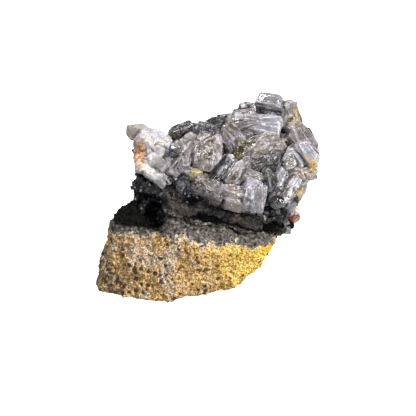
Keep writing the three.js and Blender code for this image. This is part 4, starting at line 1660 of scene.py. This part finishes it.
@dataclass
class Seam:
    """The galena seam, with loose cubes on its upper left-hand and right-hand parts."""

    stone: Stone = field(default_factory=lambda: SEAM)
    cubes: CubeCluster = field(
        default_factory=lambda: CubeCluster("galena_cubes", "galena", (0.6, 1.9), seed=3)
    )
    tries: int = 2600
    seed: int = 4
    left: float = -18.5  # the cubes cover all that lies to its left
    upper_left: Range = (-9, 46)  # and what lies to the first's left and above the second
    right: float = 24  # and all that lies to its right
    steepest: float = -0.3  # the least upward part of a face's normal that cubes lie on at the left

    def build(self, nodes: dict[str, Piece]) -> Piece:
        """Makes the seam and its cubes.

        Args:
            nodes: The specimen's solids, by name.

        Returns:
            The seam, without the cubes.
        """
        galena = GalenaFinish().material()
        seam = self.stone.build(nodes, galena)
        places = scatter_on(seam.data.polygons, self.tries, self.seed, self._has_cubes)
        self.cubes.build(places, galena)
        return seam

    def _has_cubes(self, place: Vector, normal: Vector) -> bool:
        """Tells whether cubes lie on a face.

        Args:
            place: The face's middle, in millimetres.
            normal: Its normal.

        Returns:
            Whether they do.
        """
        beside, above = self.upper_left
        at_left = place.x < self.left or place.x < beside and place.z > above
        return normal.z > self.steepest and at_left or place.x > self.right


@dataclass
class Pocket:
    """The small open pocket, lined with black galena cubes."""

    centre: Vector = field(default_factory=lambda: Vector((-22.3, -11.5, 33.6)))
    radii: Size = (6.2, 9.5, 6.6)
    depths: Range = (0.3, 1.2)  # how far the cubes stand out of the wall
    mouth: float = 0.02  # radians by which the first cubes lie in from the mouth
    count: int = 900
    sides: Range = (0.7, 1.9)
    seed: int = 8

    def build(self) -> None:
        """Makes the cubes that line the pocket."""
        cluster = CubeCluster("pocket_cubes_fine", "pocket_galena", self.sides, self.seed)
        cluster.build(self._wall_places(), POCKET_GALENA.material(), "pocket_cubes")

    def _wall_places(self) -> Iterable[Vector]:
        """Picks random places on the pocket's inner wall.

        Yields:
            Each place, in metres.
        """
        chance = random.Random(self.seed)
        for _ in range(self.count):
            round_angle = chance.uniform(-math.pi, math.pi)
            inward = chance.uniform(self.mouth, math.pi / 2)
            across = math.cos(inward)
            depth = chance.uniform(*self.depths)
            place = Vector((
                (self.radii[0] - depth) * math.cos(round_angle) * across,
                (self.radii[1] - depth) * math.sin(inward),
                (self.radii[2] - depth) * math.sin(round_angle) * across,
            ))
            yield (self.centre + place + ORIGIN) * MM


@dataclass
class Spar:
    """The spar: its broken mass, and the smooth plates on it."""

    mass: Stone = field(default_factory=lambda: SPAR)
    plates: Sequence[Crystal] = field(default_factory=lambda: SPAR_PLATES)

    def build(self, nodes: dict[str, Piece]) -> None:
        """Makes both.

        Args:
            nodes: The specimen's solids, by name.
        """
        finish = SparFinish().material()
        self.mass.build(nodes, finish)
        plates = joined([plate.mesh() for plate in self.plates], "spar_plates")
        seat(plates, finish, "milky_spar", "milky_spar")


@dataclass
class Druse:
    """The fine grey crystals on the seam's front, and on the lower edge of the crust above it."""

    cubes: CubeCluster = field(
        default_factory=lambda: CubeCluster("grey_druse", "clear_crystal", (0.6, 1.4), seed=8)
    )
    tries: int = 30000
    # The lowest and the highest corner of the parts of the seam and of the crust that it covers.
    on_seam: Box = ((-14, -math.inf, 43.5), (-3, -7, math.inf))
    on_crust: Box = ((-16, -math.inf, 43), (-5, -10, 50))
    seam_seed: int = 6
    crust_seed: int = 7

    def build(self, seam: Piece, crust: Piece) -> None:
        """Makes the druse.

        Args:
            seam: The seam.
            crust: The crust's crystals that it has grown on.
        """
        places = scatter_on(seam.data.polygons, self.tries, self.seam_seed, self._inside(self.on_seam))
        places += scatter_on(crust.data.polygons, self.tries, self.crust_seed, self._inside(self.on_crust))
        self.cubes.build(places, DRUSE.material())

    def _inside(self, box: Box) -> Callable[[Vector, Vector], bool]:
        """Returns a test of whether a face lies in a box."""
        low, high = box
        return lambda place, normal: all(least < value < most for least, value, most in zip(low, place, high))


# ---------------------------------------------------------------- the crystals in the seam's end


@dataclass(frozen=True)
class SetCrystal:
    """A crystal that doesn't stand on the bed, and how it is set."""

    crystal: Crystal
    place: Size
    degrees: Size

    def mesh(self) -> bpy.types.Mesh:
        """Returns the crystal's mesh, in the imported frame."""
        turn = Euler([math.radians(angle) for angle in self.degrees]).to_matrix().to_4x4()
        return self.crystal.mesh(Matrix.Translation(self.place) @ turn)


RED = CrystalFinish(
    "amber_crystal", (0.30, 0.035, 0.008), (0.60, 0.16, 0.04), (0.80, 0.36, 0.2), (0.95, 0.7, 0.6),
    0.6, (0.08, 0.3), absorbed=(0.90, 0.45, 0.2), density=90.0, line_strength=0.2,
)
PINK = CrystalFinish(
    "pink_crystal", (0.30, 0.2, 0.17), (0.66, 0.54, 0.5), (0.85, 0.76, 0.73), (1.0, 0.93, 0.9),
    0.4, (0.1, 0.4), absorbed=(0.95, 0.85, 0.8), line_strength=0.5,
)
DARK_GLASS = replace(SMOKY.value, name="dark_glass", line_strength=0.12, rough=(0.05, 0.12))

AMBER_TOOTH = SetCrystal(
    Crystal((0, 0), (4.8, 3.2, 3), CLEAR, TOOTH, shade=0.3, fineness=0.5, waviness=0.1),
    (36.2, -9.6, 29.8), (20, -24, 30),
)
AMBER_CAP = SetCrystal(
    Crystal((1, 0), (4.2, 3.4, 3.4), CLEAR, LUMP, shade=0.8, fineness=0.5, waviness=0.1),
    (36.5, -8.0, 32.0), (10, 20, 40),
)
AMBER_STEM = SetCrystal(
    Crystal((2, 0), (6, 2.8, 3), CLEAR, shade=0.8, fineness=0.5, waviness=0.1),
    (33.8, -8.4, 28.4), (10, -50, 10),
)
DARK_BALL = SetCrystal(
    Crystal((2, 0), (5.6, 5.2, 5), CLEAR, LUMP, shade=0.0, fineness=0.6, waviness=0.1),
    (28.3, -18.4, 42.0), (20, 10, 30),
)

# Small clear crystals in the seam's right-hand end and above it: where each is, and how long.
SEAM_BITS = [
    ((30.6, -14.6, 33.0), 2.6), ((32.4, -14.4, 30.2), 2.8), ((32.6, -14.2, 27.0), 3.2),
    ((22.8, -16.0, 33.8), 3.0), ((23.6, -15.6, 31.4), 2.4), ((21.4, -16.4, 35.8), 2.2),
    ((29.0, -15.6, 35.6), 2.4), ((33.4, -12.6, 35.4), 2.8), ((27.0, -15.6, 34.0), 2.0),
    ((33.6, -11.8, 24.6), 2.6),
]


@dataclass
class EndCrystals:
    """The crystals in the seam's right-hand end: a reddish one, and small clear ones round it."""

    bit_shares: Size = (1, 0.85, 0.8)  # a small crystal's length, width and height, as shares of its length
    bit_turns: Size = (50, 35, 70)  # degrees by which each small crystal is turned from the one before

    def build(self) -> None:
        """Makes the crystals."""
        seat(joined([AMBER_TOOTH.mesh()], "amber_tooth"), RED.material(), "amber_crystal", "amber_crystal")
        base = joined([AMBER_CAP.mesh(), AMBER_STEM.mesh()], "amber_base")
        seat(base, PINK.material(), "amber_crystal", "amber_crystal")
        ball = joined([DARK_BALL.mesh()], "dark_ball")
        seat(ball, DARK_GLASS.material(), "clear_crystal", "crystal_crust")
        bits = joined([bit.mesh() for bit in self._bits()], "seam_bits")
        seat(bits, SMOKY.value.material(), "clear_crystal", "crystal_crust")

    def _bits(self) -> Iterable[SetCrystal]:
        """Sets the small clear crystals.

        Yields:
            Each of them.
        """
        for number, (place, length) in enumerate(SEAM_BITS):
            size = tuple(length * share for share in self.bit_shares)
            bit = Crystal((number, 1), size, SMOKY, shade=0.75, fineness=0.8, waviness=0.1)
            yield SetCrystal(bit, place, tuple(number * turn for turn in self.bit_turns))


# ---------------------------------------------------------------- the studio


@dataclass(frozen=True)
class Softbox:
    """A square soft light: where it hangs and its side, in metres, and its power, in watts."""

    name: str
    place: Size
    side: float
    power: float

    def hang(self, aim: Vector) -> None:
        """Adds the light, facing a place.

        Args:
            aim: The place, in metres.
        """
        light = bpy.data.lights.new(self.name, "AREA")
        light.size = self.side
        light.energy = self.power
        lamp = bpy.data.objects.new(self.name, light)
        lamp.location = self.place
        lamp.rotation_euler = (aim - Vector(self.place)).to_track_quat("-Z", "Y").to_euler()
        bpy.context.scene.collection.objects.link(lamp)


@dataclass
class Studio:
    """The pale floor, the soft lights and the camera."""

    aim: Vector = field(default_factory=lambda: Vector((0, -5, 32)))
    distance: float = 485.0
    elevation: float = 28.0
    lens: float = 100.0
    nearest: float = 0.01  # metres from the camera at which the view begins
    floor_side: float = 6.0  # metres
    floor_colour: Colour = (0.9, 0.9, 0.9)
    floor_glow: float = 0.7
    ambient: float = 0.2
    softboxes: tuple[Softbox, ...] = (
        Softbox("key", (0.52, -0.42, 0.42), 0.20, 8.0),
        Softbox("top", (-0.15, 0.22, 0.70), 0.20, 5.5),
        Softbox("fill", (-0.55, -0.50, 0.35), 0.25, 1.6),
    )

    WHITE_LIGHT = (1.0, 1.0, 1.0)

    def build(self) -> None:
        """Makes the floor, the lights and the camera."""
        self._floor()
        self._world()
        for softbox in self.softboxes:
            softbox.hang((self.aim + ORIGIN) * MM)
        self._camera()
        bpy.context.scene.view_settings.view_transform = "Standard"

    def _floor(self) -> None:
        """Makes the floor, which glows so that it is pale and its shadows are soft."""
        bm = bmesh.new()
        bmesh.ops.create_grid(bm, x_segments=1, y_segments=1, size=self.floor_side / 2)
        floor = placed(mesh_from(bm, "floor"), "floor")
        tree = Tree("pale_floor")
        tree.set(Base_Color=self.floor_colour, Roughness=0.9, Specular_IOR_Level=0.1)
        tree.set(Emission_Color=self.WHITE_LIGHT, Emission_Strength=self.floor_glow)
        floor.data.materials.append(tree.material)
        floor.visible_diffuse = False
        floor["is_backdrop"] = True

    def _world(self) -> None:
        """Lights the whole scene evenly with white."""
        world = bpy.data.worlds.new("studio")
        world.use_nodes = True
        background = world.node_tree.nodes["Background"]
        background.inputs["Color"].default_value = (*self.WHITE_LIGHT, 1.0)
        background.inputs["Strength"].default_value = self.ambient
        bpy.context.scene.world = world

    def _camera(self) -> None:
        """Adds the camera."""
        data = bpy.data.cameras.new("camera")
        data.lens = self.lens
        data.clip_start = self.nearest
        camera = bpy.data.objects.new("camera", data)
        tilt = math.radians(self.elevation)
        aim = self.aim + ORIGIN
        camera.location = (aim + self.distance * Vector((0, -math.cos(tilt), math.sin(tilt)))) * MM
        camera.rotation_euler = (math.pi / 2 - tilt, 0, 0)
        bpy.context.scene.collection.objects.link(camera)
        bpy.context.scene.camera = camera


# ---------------------------------------------------------------- the specimen


def main() -> None:
    """Builds the specimen and its studio, and measures the boxes round the solids and round the dressed
    model.
    """
    logging.basicConfig(level=logging.INFO, format="%(name)s %(message)s")
    noise.seed_set(BEND_SEED)
    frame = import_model()
    LIMITS.measure()
    nodes = frame["nodes"]
    HOST_ROCK.build(nodes, HostRockFinish().material())
    seam = Seam().build(nodes)
    Pocket().build()
    Spar().build(nodes)
    crust = CrystalCrust().build()
    Druse().build(seam, crust[SMOKY])
    EndCrystals().build()
    Studio().build()
    boxes = {"solids": (LIMITS.low, LIMITS.high), "dressed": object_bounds()}
    {name: [list(corner) for corner in box] for name, box in boxes.items()}


if __name__ == "__main__":
    main()
